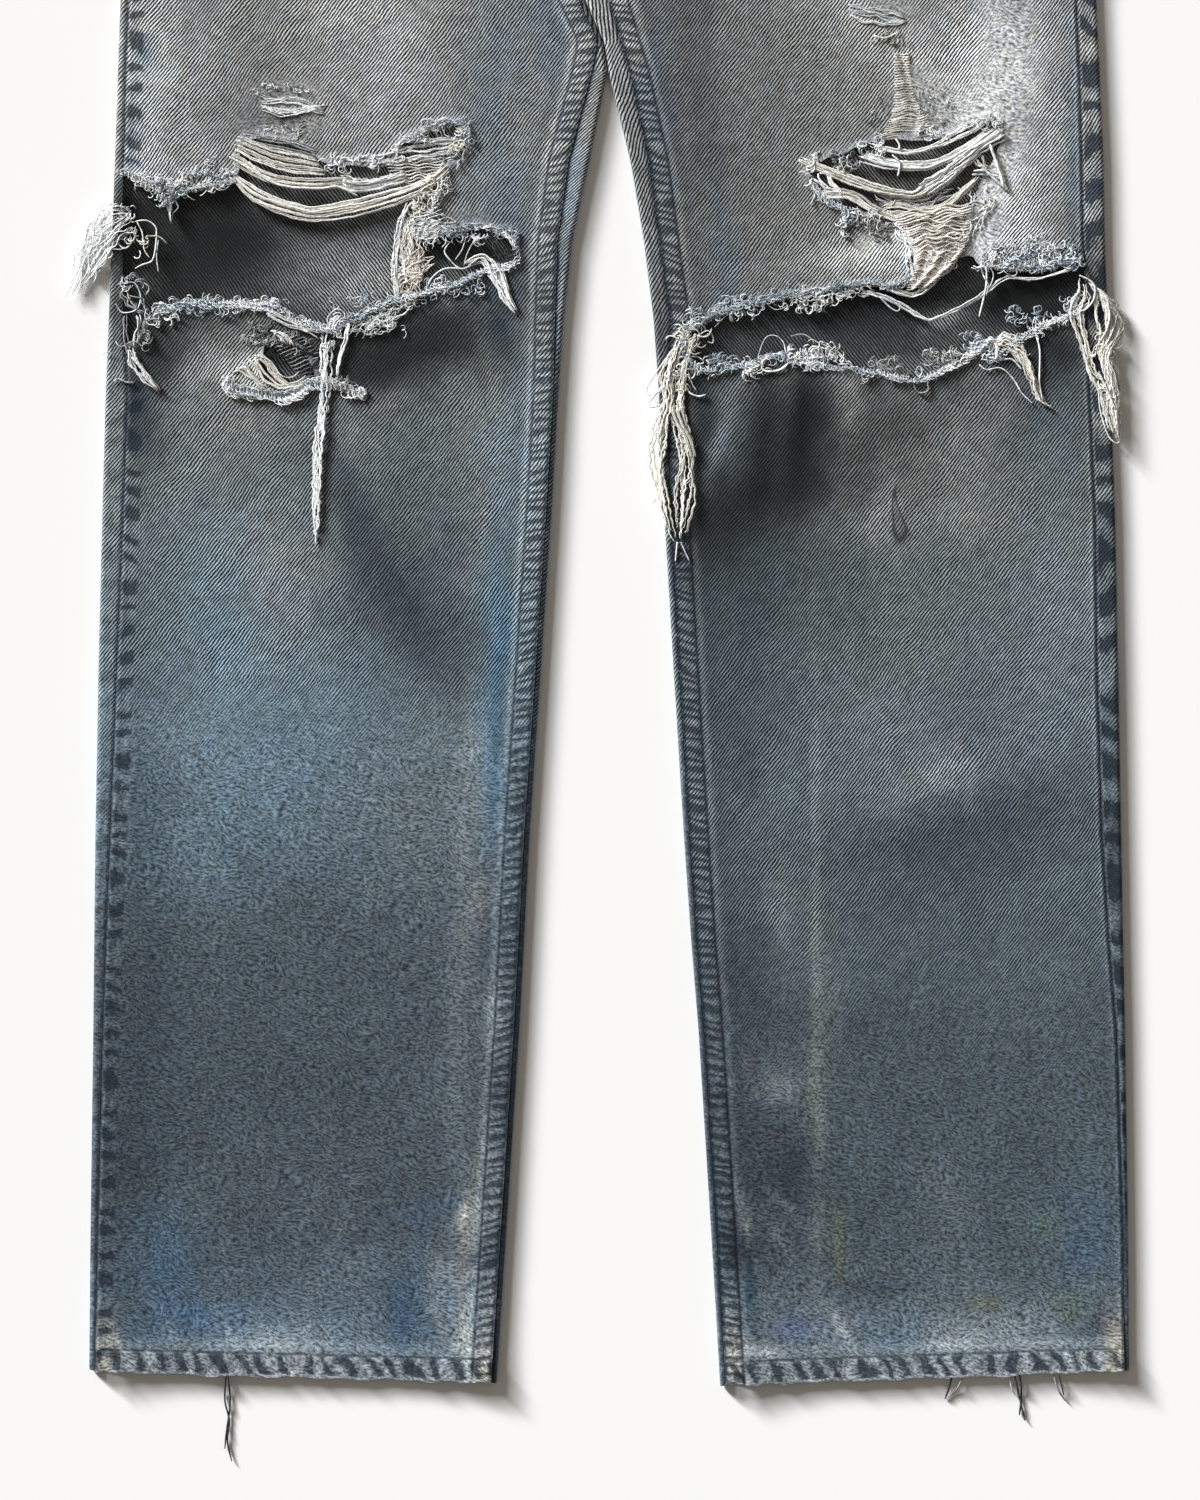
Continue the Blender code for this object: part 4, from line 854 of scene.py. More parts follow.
# Where something dripped on the left shin and dried: a drop with a dark rim.
DROP_X, DROP_HEIGHT, DROP_HALF_X, DROP_HALF_HEIGHT = 163.0, 490.0, 4.6, 14.0
tree = front_denim[1].node_tree
shader = tree.nodes["Principled BSDF"]
dry = shader.inputs["Base Color"].links[0].from_socket
cloth = node(tree, "SeparateXYZ", {0: node(tree, "UVMap", uv_map="cloth")["UV"]})
up = scaled(cloth[1], 1 / (DROP_HALF_HEIGHT * MM), -DROP_HEIGHT / DROP_HALF_HEIGHT)
aside = scaled(cloth[0], 1 / (DROP_HALF_X * MM), -DROP_X / DROP_HALF_X)
aside = scaled(maths("SINE", times(up, 2.2)), 0.35, aside)
aside = times(aside, stretch(up, -0.7, 1.0, 1.0, 3.4))
reach = maths("SQRT", maths("ADD", times(up, up), times(aside, aside)))
rim = maths("POWER", maths("ABSOLUTE", scaled(reach, 4.5, -4.5)), 2.0)
damp = scaled(maths("EXPONENT", times(rim, -1.0)), 0.8, stretch(reach, 0.8, 1.05, 0.3, 0.0))
wire(shader, {"Base Color": blend_colour(damp, dry, (0.02, 0.022, 0.022))})

# The twill shows from these heights up, by these shares.
TWILL_FADE = {-1: ((330, 430), (0.08, 1.0)), 1: ((150, 300), (0.1, 1.0))}
GAPS = np.array([0, 0.7, 1.6, 3.2, 5.0, 6.8, 8.6, 9.8, 10.6, 11.5, 12.8, 14.6, 17.5, 21])
FRONT_HEIGHTS = sorted(set([0, 0.8, 1.8, 3.5, 5.5, 7.5, 9.5, 11.2, 12.3, 13.0, 13.9, 15.4]
                           + list(np.arange(18, 60, 3.0)) + list(np.arange(60, 545, 3.8))
                           + list(np.arange(545, 725, 1.65)) + list(np.arange(725, 1050, 4.2))
                           + [WAIST_SEAM]))


def front_panel(side):
    """One leg's front panel, torn at the knee, with its wash and painted shade and its distances from the
    seams.
    """
    height = np.array(FRONT_HEIGHTS, float)[:, None]
    _, outseam, inseam, _ = leg_edges(side, height)
    start, end = inseam + SEAM_GAP / 2, outseam - SEAM_GAP / 2
    middle = np.linspace(0, 1, 78)[None, 1:-1]
    first, last = start + GAPS[-1], end - GAPS[-1]
    distance = np.concatenate([start + GAPS[None, :], first + (last - first) * middle,
                               end - GAPS[None, ::-1]], 1)[:, ::side]
    height = np.repeat(height, distance.shape[1], 1)
    y = squeezed(height, HIP, WAIST_SEAM, front_waist(distance) - SEAM_GAP / 2)
    y = y + hem_rise(side, distance, height)
    level = front_level(side, distance, height)
    from_inseam, from_outseam = distance - start, end - distance
    # The felled inseam stands up as far as its stitches, and the outseam is a low ridge.
    level = level + 0.45 * (1 - np.clip((from_inseam - FELL) / 1.8, 0, 1))
    level = level - 0.35 * np.exp(-((from_inseam - FELL) / 0.8) ** 2)
    level = level + 0.3 * np.exp(-((from_outseam - 1.8) / 1.8) ** 2)
    # The hem is double and roped, with its stitches sunk in.
    hem = 1 - np.clip((height - HEM_STITCH + 0.4) / 1.4, 0, 1)
    roping = 0.22 * np.sin((distance + 0.9 * height) / 2.3 + 2.5 * cloud(distance, height, 19, 3))
    level = level + 1.3 * np.exp(-(height / 24.0) ** 2)
    level = level + hem * (0.75 + roping) - 0.3 * np.exp(-((height - HEM_STITCH) / 0.9) ** 2)
    x = side * distance
    # The cloth lifts along the torn edges, in a narrower line round the second tear.
    gap = np.full(x.size, 1e9)
    for path, far in zip(torn[side], (1, 3)):
        gap = np.minimum(gap, far * nearest_on(path, x.ravel(), y.ravel())[0])
    level = level + 0.9 * np.exp(-(gap.reshape(x.shape) / 4.0) ** 2) * (1 + 0.7 * cloud(x, y, 9, 11))
    piece = lay_cloth("front_" + SIDES[side], x, y, level, (x, y))
    x, y, height, from_inseam, from_outseam = (
        part.ravel() for part in (x, y, height, from_inseam, from_outseam))
    # Wash with painted shade under the torn lips and fringes and in the troughs of the folds.
    wash_and_shade = washed_and_shaded(side, x, y, WASH_AND_SHADE_PATCHES[side], 20 + side)
    # It is rubbed pale along the hem, and higher up where the seams meet it.
    worn_hem = np.exp(-(height / 15.0) ** 6) * (0.7 + 0.35 * cloud(x, y, 13, 31))
    seam_foot = np.minimum(from_inseam, from_outseam)
    worn_foot = np.exp(-(height / 34.0) ** 4 - (seam_foot / 12.0) ** 4) * (0.75 + 0.3 * cloud(x, y, 17, 33))
    wash_and_shade += (linear((118, 125, 129)) - wash_and_shade) * worn_hem[:, None]
    wash_and_shade += (linear((136, 132, 122)) - wash_and_shade) * worn_foot[:, None]
    note(piece, "wash_and_shade", wash_and_shade)
    twill = np.interp(y, *TWILL_FADE[side])
    note(piece, "twill", twill * np.clip(1 - raised(x, y, NAPPED[side]), 0, 1))
    note(piece, "frayed", 0.85 * np.exp(-(gap / (2.6 + 1.6 * cloud(x, y, 6, 12))) ** 2))
    note(piece, "inseam", from_inseam * MM)
    note(piece, "outseam", from_outseam * MM)
    note(piece, "hem", height * MM)
    cut_tears(piece, side, x, y)
    give_wall(piece, 1.0)
    piece.data.materials.append(front_denim[side])
    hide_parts("front_panel_" + SIDES[side])
    return piece


def cut_tears(piece, side, x, y):
    """Take out the faces inside the tears and draw the points round them on to the torn edges."""
    bpy.ops.object.mode_set(mode="EDIT")
    bpy.ops.mesh.select_all(action="DESELECT")
    bpy.ops.object.mode_set(mode="OBJECT")
    corners = np.zeros(len(piece.data.loops), int)
    piece.data.loops.foreach_get("vertex_index", corners)
    quads = corners.reshape(-1, 4)
    gone = np.zeros(len(quads), bool)
    for path in torn[side] + [scoops[side]]:
        gone |= inside(path, x[quads].mean(1), y[quads].mean(1))
    rim = np.intersect1d(quads[~gone], quads[gone])
    places, best = np.zeros((len(rim), 2)), np.full(len(rim), 1e9)
    for path in torn[side] + [scoops[side]]:
        near, place = nearest_on(path, x[rim], y[rim])
        closer = near < best
        best[closer], places[closer] = near[closer], place[closer]
    for index, (new_x, new_y) in zip(rim, places):
        point = piece.data.vertices[int(index)].co
        point.x, point.y = new_x * MM + ORIGIN_X, new_y * MM + ORIGIN_Y
    piece.data.polygons.foreach_set("select", gone)
    bpy.ops.object.mode_set(mode="EDIT")
    bpy.ops.mesh.select_mode(type="FACE")
    bpy.ops.mesh.delete(type="FACE")
    bpy.ops.object.mode_set(mode="OBJECT")


fronts = {side: front_panel(side) for side in SIDES}

# ---- Back yokes ----------------------------------------------------------------------------------
# A shaped piece of denim across the top of each back panel, felled on to it, that gives the seat its
# curve and turns round the side with it.
trim_denim = denim("trim_denim", (
    ("ridge", "hem", 0.8, 1.0, 0.7), ("puckers", "hem", (1.2, 5.5, 9, 0.3, 0.3), 0, 0.5),
    ("line", "hem", 2.8, 0.5, 0.5)))


def small_cloth(name, x, y, level, cad, side=1, wall=1.0, seed=60, tone=1.0):
    """A piece of denim on a grid of points, with its distance from its own edges kept for its seams."""
    x, y, level = (part[:, ::side] for part in np.broadcast_arrays(x, y, level))
    steps = np.hypot(np.diff(x, axis=1), np.diff(level, axis=1))
    across = np.concatenate([np.zeros((len(x), 1)), np.cumsum(steps, 1)], 1)
    rows = np.hypot(np.diff(x, axis=0), np.diff(y, axis=0))
    along = np.concatenate([np.zeros((1, x.shape[1])), np.cumsum(rows, 0)], 0)
    level = level + 0.12 * cloud(x, y, 9, seed) + 0.08 * cloud(x, y, 4, seed + 1)
    piece = lay_cloth(name, x, y, level, (across, along))
    x, y = x.ravel(), y.ravel()
    note(piece, "wash_and_shade", washed_and_shaded(side, x, np.clip(y, 0, WAIST_SEAM), (), seed) * tone)
    for key, value in (("twill", 0.85), ("frayed", 0), ("inseam", FAR * MM), ("outseam", FAR * MM)):
        note(piece, key, np.full(len(x), value))
    edge = np.minimum(np.minimum(across, across[:, -1:] - across), np.minimum(along, along[-1:] - along))
    note(piece, "hem", edge.ravel() * MM)
    give_wall(piece, wall)
    piece.data.materials.append(trim_denim)
    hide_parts(cad)
    return piece


for side, word in SIDES.items():
    sections = [back_section(side, height) for height in np.linspace(YOKE_SIDE, WAIST_SEAM, 12)]
    distance, level, _ = (np.array(part) for part in zip(*sections))
    low_edge, high_edge = yoke_seam(distance) + SEAM_GAP / 2, WAIST_SEAM - SEAM_GAP / 2
    y = low_edge + (high_edge - low_edge) * np.linspace(0, 1, 12)[:, None]
    small_cloth("yoke_" + word, side * distance, y, level, "back_yoke_" + word, side,
                              WALL, 64 + side)

# ---- Back pockets --------------------------------------------------------------------------------
# A five-sided patch of denim on each half of the seat, hemmed along its top and sewn on round the
# other sides. It lies under the seat, so it is seen from below only.
POCKET_TOP = ((40, 962), (168, 968))
POCKET_FOOT = ((46, 852), (104, 829), (163, 858))
s, t = np.linspace(0, 1, 36)[:, None], np.linspace(0, 1, 40)[None, :]
top_x, top_y = (np.interp(t, (0, 1), ends) for ends in zip(*POCKET_TOP))
foot_x = np.interp(t, (0, 1), (POCKET_FOOT[0][0], POCKET_FOOT[-1][0]))
foot_y = np.interp(foot_x, *zip(*POCKET_FOOT))
x, y = foot_x + (top_x - foot_x) * s, foot_y + (top_y - foot_y) * s
pockets = {side: small_cloth("pocket_" + word, side * x, y, 0.75, "back_pocket_" + word, side, 1.0, 70 + side)
           for side, word in SIDES.items()}

# ---- Pocket facings ------------------------------------------------------------------------------
# The denim that is seen inside each front pocket's scoop, between the front and the back.
FACING_INNER, FACING_BOTTOM = 92, 938
s = np.linspace(0, 1, 30)[:, None]
for side, word in SIDES.items():
    outer = leg_edges(side, FACING_BOTTOM + (WAIST_SEAM - FACING_BOTTOM) * s)[0] - 5.2
    x = FACING_INNER + (outer - FACING_INNER) * t
    y = FACING_BOTTOM + (front_waist(x) - 1 - FACING_BOTTOM) * s
    small_cloth("facing_" + word, side * x, y, 3.6, "pocket_facing_" + word, side,
                                1.0, 76 + side, 0.85)

# ---- Fly and zip ---------------------------------------------------------------------------------
# The left front's flap with its curved foot, over a closed zip of tape and teeth.
FLY_WIDTH, FLY_FOOT, FLY_TURN, FLY_TOP = 40.0, 888.2, 928, 1031
s, t = np.linspace(0, 1, 44)[:, None], np.linspace(0, 1, 14)[None, :]
rise = FLY_FOOT + (FLY_TOP - FLY_FOOT) * s
reach = np.sqrt(np.clip(FLY_WIDTH ** 2 - np.clip(FLY_TURN - rise, 0, None) ** 2, 9, None))
x = reach * t + 0.15
fly = small_cloth("fly_flap", x, np.minimum(rise, front_waist(x) - 1), 6.6, "fly", seed=82)

x, y = 12 * np.linspace(-1, 1, 9)[None, :], np.linspace(896, 1029, 40)[:, None]
tape = small_cloth("zip_tape", x, y, 3.5, "zip", wall=0.9, seed=84)
tape_look, shader = material("zip_tape", {"Roughness": 0.9})
links = {"Vector": node(tape_look.node_tree, "UVMap", uv_map="cloth")["UV"],
         "Scale": 320.0, "Distortion": 0.4}
ribs = node(tape_look.node_tree, "TexWave", links, bands_direction="DIAGONAL")["Fac"]
wire(shader, {"Base Color": blend_colour(ribs, (0.02, 0.03, 0.05), (0.05, 0.065, 0.09))})
tape.data.materials.clear()
tape.data.materials.append(tape_look)

metal, shader = material("worn_metal", {"Metallic": 0.9})
worn = stretch(noise(node(metal.node_tree, "TexCoord")["Object"], 420, 3, 0.6), 0.4, 0.6)
wire(shader, {"Base Color": blend_colour(worn, (0.30, 0.27, 0.23), (0.58, 0.55, 0.50)),
              "Roughness": stretch(worn, 0.0, 1.0, 0.55, 0.32)})

teeth = []
for step in range(62):
    bpy.ops.mesh.primitive_cube_add(size=1)
    tooth = bpy.context.active_object
    lean = 0.7 if step % 2 else -0.7
    for corner in tooth.data.vertices:
        corner.co = ((corner.co.x * 3.2 + lean) * MM + ORIGIN_X,
                     (corner.co.y * 1.0 + 899 + 2 * step) * MM + ORIGIN_Y, (corner.co.z * 1.2 + 4.3) * MM)
    teeth.append(tooth)
bpy.ops.object.select_all(action="DESELECT")
for tooth in teeth:
    tooth.select_set(True)
bpy.context.view_layer.objects.active = teeth[0]
bpy.ops.object.join()
zip_teeth = bpy.context.active_object
zip_teeth.name = "zip_teeth"
zip_teeth.data.materials.append(metal)
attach(zip_teeth, "root")

# ---- Waistband -----------------------------------------------------------------------------------
# A straight strip of denim folded double, sewn over the tops of the panels all round the waist. Its
# left end laps over its right one.
BAND_BACK, BAND_FRONT, BAND_OVER = 2.5, 5.5, 7.8
turn = (BAND_FRONT - BAND_BACK) / 2
corner = 218.0 - turn - 1.0
bends = np.radians(np.linspace(90, 270, 9))[1:-1]
course = [(14.0, BAND_FRONT), (-corner, BAND_FRONT)]
course += [(-corner + turn * math.cos(a), BAND_BACK + turn + turn * math.sin(a)) for a in bends]
course += [(-corner, BAND_BACK), (corner, BAND_BACK)]
course += [(corner - turn * math.cos(a), BAND_BACK + turn - turn * math.sin(a)) for a in bends]
course += [(corner, BAND_FRONT), (50.0, BAND_FRONT), (30.0, BAND_OVER), (-24.0, BAND_OVER)]
fine = []
for (x1, z1), (x2, z2) in zip(course, course[1:]):
    count = max(1, int(math.hypot(x2 - x1, z2 - z1) / 3.5))
    fine += [(x1 + (x2 - x1) * k / count, z1 + (z2 - z1) * k / count) for k in range(count)]
fine = np.array(fine + [course[-1]])
dip = np.clip((fine[:, 1] - BAND_BACK) / (BAND_FRONT - BAND_BACK), 0, 1)
seam = WAIST_SEAM + (front_waist(np.abs(fine[:, 0])) - WAIST_SEAM) * dip
s = np.array([0, 0.02, 0.05, 0.075, 0.1, 0.2, 0.35, 0.5, 0.65, 0.8, 0.9, 0.925, 0.95, 0.98, 1])[:, None]
y = (seam + SEAM_GAP / 2)[::-1] + (BAND_TOP - WAIST_SEAM - SEAM_GAP / 2) * s
band = small_cloth("band", fine[::-1, 0], y, fine[::-1, 1], "waistband", wall=1.8, seed=88)

# ---- Belt loops ----------------------------------------------------------------------------------
# Five folded strips of denim, pressed flat and tacked over the band at both ends.
LOOP_X, LOOP_HALF, LOOP_LONG = 108, 5.5, 48
s, t = np.linspace(0, 1, 25)[:, None], np.linspace(-1, 1, 9)[None, :]
for name, x in (("front_right", -LOOP_X), ("front_left", LOOP_X), ("back_right", -112), ("back_left", 112),
                ("back_centre", 0)):
    top, level = WAIST_SEAM + 40, 0.7
    if name.startswith("front"):
        top, level = front_waist(LOOP_X) + 40, 7.3 + 0.25 * np.sin(math.pi * s) - 0.15 * np.abs(t) ** 3
    small_cloth("loop_" + name, x + LOOP_HALF * t, top - LOOP_LONG + LOOP_LONG * s, level,
                              "belt_loop_" + name, seed=92)

# ---- Waist button --------------------------------------------------------------------------------
# A plain stamped metal button with a rolled rim and a sunk centre. It bears no marks.
profile = ((0, 0), (6.5, 0), (7.6, 0.25), (8.3, 0.8), (8.5, 1.4), (8.35, 1.95), (7.9, 2.35), (7.2, 2.5),
           (6.7, 2.4), (6.3, 2.1), (5.9, 1.75), (5.2, 1.6), (2.2, 1.6), (1.9, 1.8), (0.9, 2.05), (0, 2.1))
around = np.arange(48) * 2 * math.pi / 48
points, faces = [], []
for radius, rise in profile[1:-1]:
    for angle in around:
        points.append(((-6 + radius * math.cos(angle)) * MM + ORIGIN_X,
                       (front_waist(0) + 20 + radius * math.sin(angle)) * MM + ORIGIN_Y, (9.1 + rise) * MM))
for ring in range(len(profile) - 3):
    for k in range(48):
        a, b = ring * 48 + k, ring * 48 + (k + 1) % 48
        faces.append((a, b, b + 48, a + 48))
faces.append(tuple(range(47, -1, -1)))
faces.append(tuple(range(len(points) - 48, len(points))))
mesh = bpy.data.meshes.new("button")
mesh.from_pydata(points, [], faces)
mesh.shade_smooth()
mesh.materials.append(metal)
button = bpy.data.objects.new("button", mesh)
bpy.context.collection.objects.link(button)
button.data.set_sharp_from_angle(angle=math.radians(35))
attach(button, "root")
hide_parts("waist_button")

# ---- Frayed edges --------------------------------------------------------------------------------
# Cotton yarn, undyed inside and blue outside. Where the cloth tore, the short ends of its warp curl
# up all along the edges, and here and there a longer end has worked loose.
def tinted(name, levels=(0.7, 1.28)):
    """Cotton yarn in the colour that each of its points keeps, with its twist as fine unevenness."""
    look, shader = material(name, {"Roughness": 0.95, "Specular IOR Level": 0.12, "Sheen Weight": 0.1})
    place = node(look.node_tree, "TexCoord")["Object"]
    kept = node(look.node_tree, "Attribute", attribute_name="tint")["Color"]
    links = {0: kept, "Scale": stretch(noise(place, 700, 2, 0.6), 0.25, 0.75, *levels)}
    shade = node(look.node_tree, "VectorMath", links, operation="SCALE")[0]
    twist = node(look.node_tree, "Bump", {"Height": noise(place, 1800), "Distance": 0.0002})
    wire(shader, {"Base Color": shade, "Normal": twist["Normal"]})
    return look


yarn_look = tinted("cotton_yarn")
TINTS = {
    "cream": (0xe8e6dc, 0xd6d4cb, 0xf2f0e9, 0xc4c1b7),
    "white": (0xf0f1f0, 0xe4e6e7, 0xd4d9dc, 0xf6f6f4),
    "blush": (0xf4eee5, 0xe8e0d6, 0xf8f3ec, 0xdad1c7),
    "grey": (0xbabbb9, 0x9ea0a0, 0xd2d2cf, 0x8a8d8f),
    "blue": (0xa2adb7, 0xbcc5cc, 0xd0d7dc, 0xe2e7ea, 0xeef0f1),
    "dark": (0x34383c, 0x4a4e50, 0x282c32),
}


def leg_of(x):
    """The leg that these places are on: -1 is the right one and 1 the left one."""
    return 1 if np.mean(x) > 0 else -1


def top_of(x, height):
    """Level of what lies uppermost at a point, down to the table beside the leg."""
    side = leg_of(x)
    distance = side * np.asarray(x, float)
    outer, outseam, inseam, inner = leg_edges(side, height)
    level = front_level(side, np.clip(distance, inseam, outseam), height) + 0.5
    strip = (distance > outseam) | (distance < inseam)
    level = np.where(strip, back_level(height) + 2 * FOLD_RADIUS + WALL / 2, level)
    beyond = np.clip(np.maximum(distance - outer, inner - distance), 0, None)
    return np.clip(level - 0.4 * beyond - 0.4 * np.clip(-np.asarray(height, float), 0, None), 0.7, None)


def run_of(path):
    """How far along a path each of its points is."""
    return np.concatenate([[0], np.cumsum(np.linalg.norm(np.diff(path, axis=0), axis=1))])


def places_on(path, spots):
    """The places on a path that are this far along it."""
    return np.stack([np.interp(spots, run_of(path), path[:, axis]) for axis in (0, 1)], -1)


def evenly(path, count):
    """The same path with this many evenly spaced points."""
    return places_on(path, np.linspace(0, run_of(path)[-1], count))


def drawn(tint, count, rng, roots=None):
    """Colours for this many yarns from the shades of one kind, alike for neighbours where roots are given."""
    shades = linear(screen(TINTS[tint]))
    which = rng.integers(0, len(shades), count)
    if roots is not None:
        near = (0.5 + 0.75 * cloud(roots[:, 0], roots[:, 1], 6, 91)) * len(shades)
        which = np.clip(near + rng.uniform(-1.2, 1.2, count), 0, len(shades) - 0.01).astype(int)
    return shades[which] * rng.uniform(0.88, 1.08, (count, 1))


def tapered(count, points, radius, rng, tip=0.45):
    """The radius along each of several yarns, which thin out to their tips."""
    along = np.linspace(0, 1, points)
    ends = np.minimum(1, tip + (1 - tip) * np.minimum(along, 1 - along) * 9)
    return radius * rng.uniform(0.75, 1.2, (count, 1)) * ends[None, :]


def wiggles(rng, count, t, size, waves=3.0):
    """A different smooth unevenness along each of several yarns."""
    total = np.zeros((count, len(t)))
    for part in (1.0, 1.9, 3.1):
        phase = rng.uniform(0, 2 * math.pi, (count, 1))
        pace = waves * part * rng.uniform(0.6, 1.3, (count, 1))
        total += np.sin(2 * math.pi * pace * t[None, :] + phase) / part
    return total * size / 1.8


def hank(upper, lower, count, seed, radius=0.44, tint="white", lift=0.6, wander=0.1, stack=1.0,
         ends=0.06, crimp=0.25):
    """Yarns that run side by side between two guiding curves, in ribs of two or three."""
    rng = np.random.default_rng(seed)
    upper, lower = smooth_path(upper, 10), smooth_path(lower, 10)
    length = run_of(upper)[-1]
    points = int(np.clip(length / 1.7, 8, 80))
    upper, lower = evenly(upper, points), evenly(lower, points)
    t = np.linspace(0, 1, points)
    ribs = max(1, round(count / 2.5))
    rib = np.arange(count) * ribs // count
    within = np.arange(count) - np.searchsorted(rib, rib)
    part = (rib + 0.32 + 0.26 * within + rng.uniform(-0.06, 0.06, count))[:, None] / ribs
    drift = wiggles(rng, ribs, t, wander, 0.9)[rib]
    part = part + drift + wiggles(rng, count, t, 0.25 * wander, 1.5)
    first, last = rng.uniform(0, ends, (count, 1)), 1 - rng.uniform(0, ends, (count, 1))
    run = first + (last - first) * t
    path = np.zeros((count, points, 3))
    for axis in (0, 1):
        a, b = np.interp(run, t, upper[:, axis]), np.interp(run, t, lower[:, axis])
        wave = wiggles(rng, ribs, t, crimp, length / 9)[rib] + wiggles(rng, count, t, 0.3 * crimp, length / 6)
        path[:, :, axis] = a + (b - a) * part + wave
    level = top_of(path[:, :, 0], path[:, :, 1]) + lift + rng.uniform(0, stack, (ribs, 1))[rib]
    path[:, :, 2] = level + wiggles(rng, count, t, 0.2, 2)
    return path, tapered(count, points, radius, rng), drawn(tint, count, rng)


def rungs(first, last, count, seed, radius=0.5, tint="cream", lift=0.1, wave=1.3, waves=1.2, stack=0.5):
    """Yarns that cross from one guiding curve to the other, all waving alike."""
    rng = np.random.default_rng(seed)
    first, last = evenly(smooth_path(first, 10), count), evenly(smooth_path(last, 10), count)
    t = np.linspace(0, 1, 18)
    gap = last - first
    path = np.zeros((count, 18, 3))
    path[:, :, :2] = first[:, None] + gap[:, None] * t[None, :, None]
    place = np.linspace(0, 1, count)[:, None]
    phase = 2.6 * np.sin(3.4 * place + seed) + 0.5 * rng.uniform(-1, 1, (count, 1))
    size = wave * (0.75 + 0.35 * np.sin(7.3 * place + seed)) * np.sin(math.pi * t) ** 0.5
    size *= np.clip(np.linalg.norm(gap, axis=1) / 32, 0.25, 1)[:, None]
    path[:, :, 1] += size * np.sin(2 * math.pi * waves * t + phase) + wiggles(rng, count, t, 0.15)
    level = top_of(path[:, :, 0], path[:, :, 1]) + lift + rng.uniform(0, stack, (count, 1))
    path[:, :, 2] = level + 0.5 * np.sin(2 * math.pi * waves * t + phase + 1)
    return path, tapered(count, 18, radius, rng), drawn(tint, count, rng)


def laid(table, seed, tint="white", radius=0.42, lift=1.2):
    """One yarn through given points."""
    rng = np.random.default_rng(seed)
    path = smooth_path(table, 8)
    points = int(np.clip(run_of(path)[-1] / 0.9, 6, 90))
    path = evenly(path, points)
    level = top_of(path[:, 0], path[:, 1]) + lift + wiggles(rng, 1, np.linspace(0, 1, points), 0.35)[0]
    return np.column_stack([path, level])[None], tapered(1, points, radius, rng, 0.6), drawn(tint, 1, rng)


def curled(roots, heading, seed, length, bend, radius, tint, lift, hand=None):
    """Short ends that start at these points in these directions and curl, neighbours to the same hand."""
    rng = np.random.default_rng(seed)
    count, points = len(roots), 9
    t = np.linspace(0, 1, points)
    long = rng.uniform(*length, (count, 1))
    if hand is None:
        hand = np.sign(cloud(roots[:, 0], roots[:, 1], 5, seed + 5) + rng.normal(0, 0.12, count))
    turn = hand[:, None] * bend * rng.uniform(0.6, 1.4, (count, 1)) * long * t ** 1.2
    angle = heading[:, None] + turn + wiggles(rng, count, t, 0.3, 1.2)
    step = long / (points - 1)
    path = np.zeros((count, points, 3))
    path[:, :, 0] = roots[:, :1] + np.cumsum(np.cos(angle) * step, 1)
    path[:, :, 1] = roots[:, 1:] + np.cumsum(np.sin(angle) * step, 1)
    rise = rng.uniform(0.2, 1.6, (count, 1)) * np.sin(math.pi * (0.15 + 0.8 * t))
    path[:, :, 2] = top_of(path[:, :, 0], path[:, :, 1]) + lift + rise
    return path, tapered(count, points, radius, rng, 0.3), drawn(tint, count, rng, roots)


def tangle(x, height, half_x, half_height, count, seed, tint="blue", radius=0.32, bend=0.5,
           length=(4, 9), lift=0.6):
    """A matted clump of curled ends that lie in small locks."""
    rng = np.random.default_rng(seed)
    count = int(0.72 * count)
    angle, reach = rng.uniform(0, 2 * math.pi, count), np.sqrt(rng.uniform(0, 1, count))
    roots = np.stack([x + half_x * reach * np.cos(angle), height + half_height * reach * np.sin(angle)], 1)
    heading = (rng.uniform(0, 6) + 4.5 * cloud(roots[:, 0], roots[:, 1], 5, seed + 3)
               + rng.normal(0, 0.3, count))
    return curled(roots, heading, seed + 1, length, bend, 1.05 * radius, tint, lift)


def edge_frame(path, spots):
    """Places on a closed torn edge at these distances round it, and the directions along and into it."""
    ring = np.concatenate([path, path[:1]])
    around = run_of(ring)[-1]
    foot = places_on(ring, spots % around)
    ahead = places_on(ring, (spots + 0.8) % around) - foot
    ahead /= np.linalg.norm(ahead, axis=-1)[..., None] + 1e-9
    area = np.sum(ring[:-1, 0] * ring[1:, 1] - ring[1:, 0] * ring[:-1, 1])
    return foot, ahead, np.stack([-ahead[..., 1], ahead[..., 0]], -1) * np.sign(area)


def frayed(foot, bare):
    """Which places on the edges fray: those on the leg and away from where bare weft joins the cloth."""
    x, height = foot[..., 0], foot[..., 1]
    outer, _, _, inner = leg_edges(leg_of(x), height)
    kept = (leg_of(x) * x < outer - 1.5) & (leg_of(x) * x > inner + 1.5)
    for low_x, low, high_x, high in bare:
        kept &= (x < low_x) | (x > high_x) | (height < low) | (height > high)
    return kept


def fringe(path, seed, bare):
    """Curled warp ends all along a torn edge, in locks, thicker here and thinner there."""
    rng = np.random.default_rng(seed)
    around = np.linalg.norm(np.roll(path, -1, 0) - path, axis=1).sum()
    foot, _, inward = edge_frame(path, rng.uniform(0, around, int(FRINGE_PER_MM * around)))
    kept = rng.uniform(0, 1, len(foot)) < 0.8 + 0.6 * cloud(foot[:, 0], foot[:, 1], 13, seed)
    kept &= frayed(foot, bare)
    foot, inward = foot[kept], inward[kept]
    roots = foot - inward * rng.uniform(-0.4, 3.2, (len(foot), 1))
    hand = np.sign(cloud(foot[:, 0], foot[:, 1], 17, seed + 9) + rng.normal(0, 0.25, len(foot)))
    lean = hand * (0.9 + 0.9 * cloud(foot[:, 0], foot[:, 1], 6, seed + 11)) + rng.normal(0, 0.3, len(foot))
    heading = np.arctan2(inward[:, 1], inward[:, 0]) + lean
    return curled(roots, heading, seed + 1, (3.0, 6.5), 0.34, 0.28, "blue", 1.0, hand)


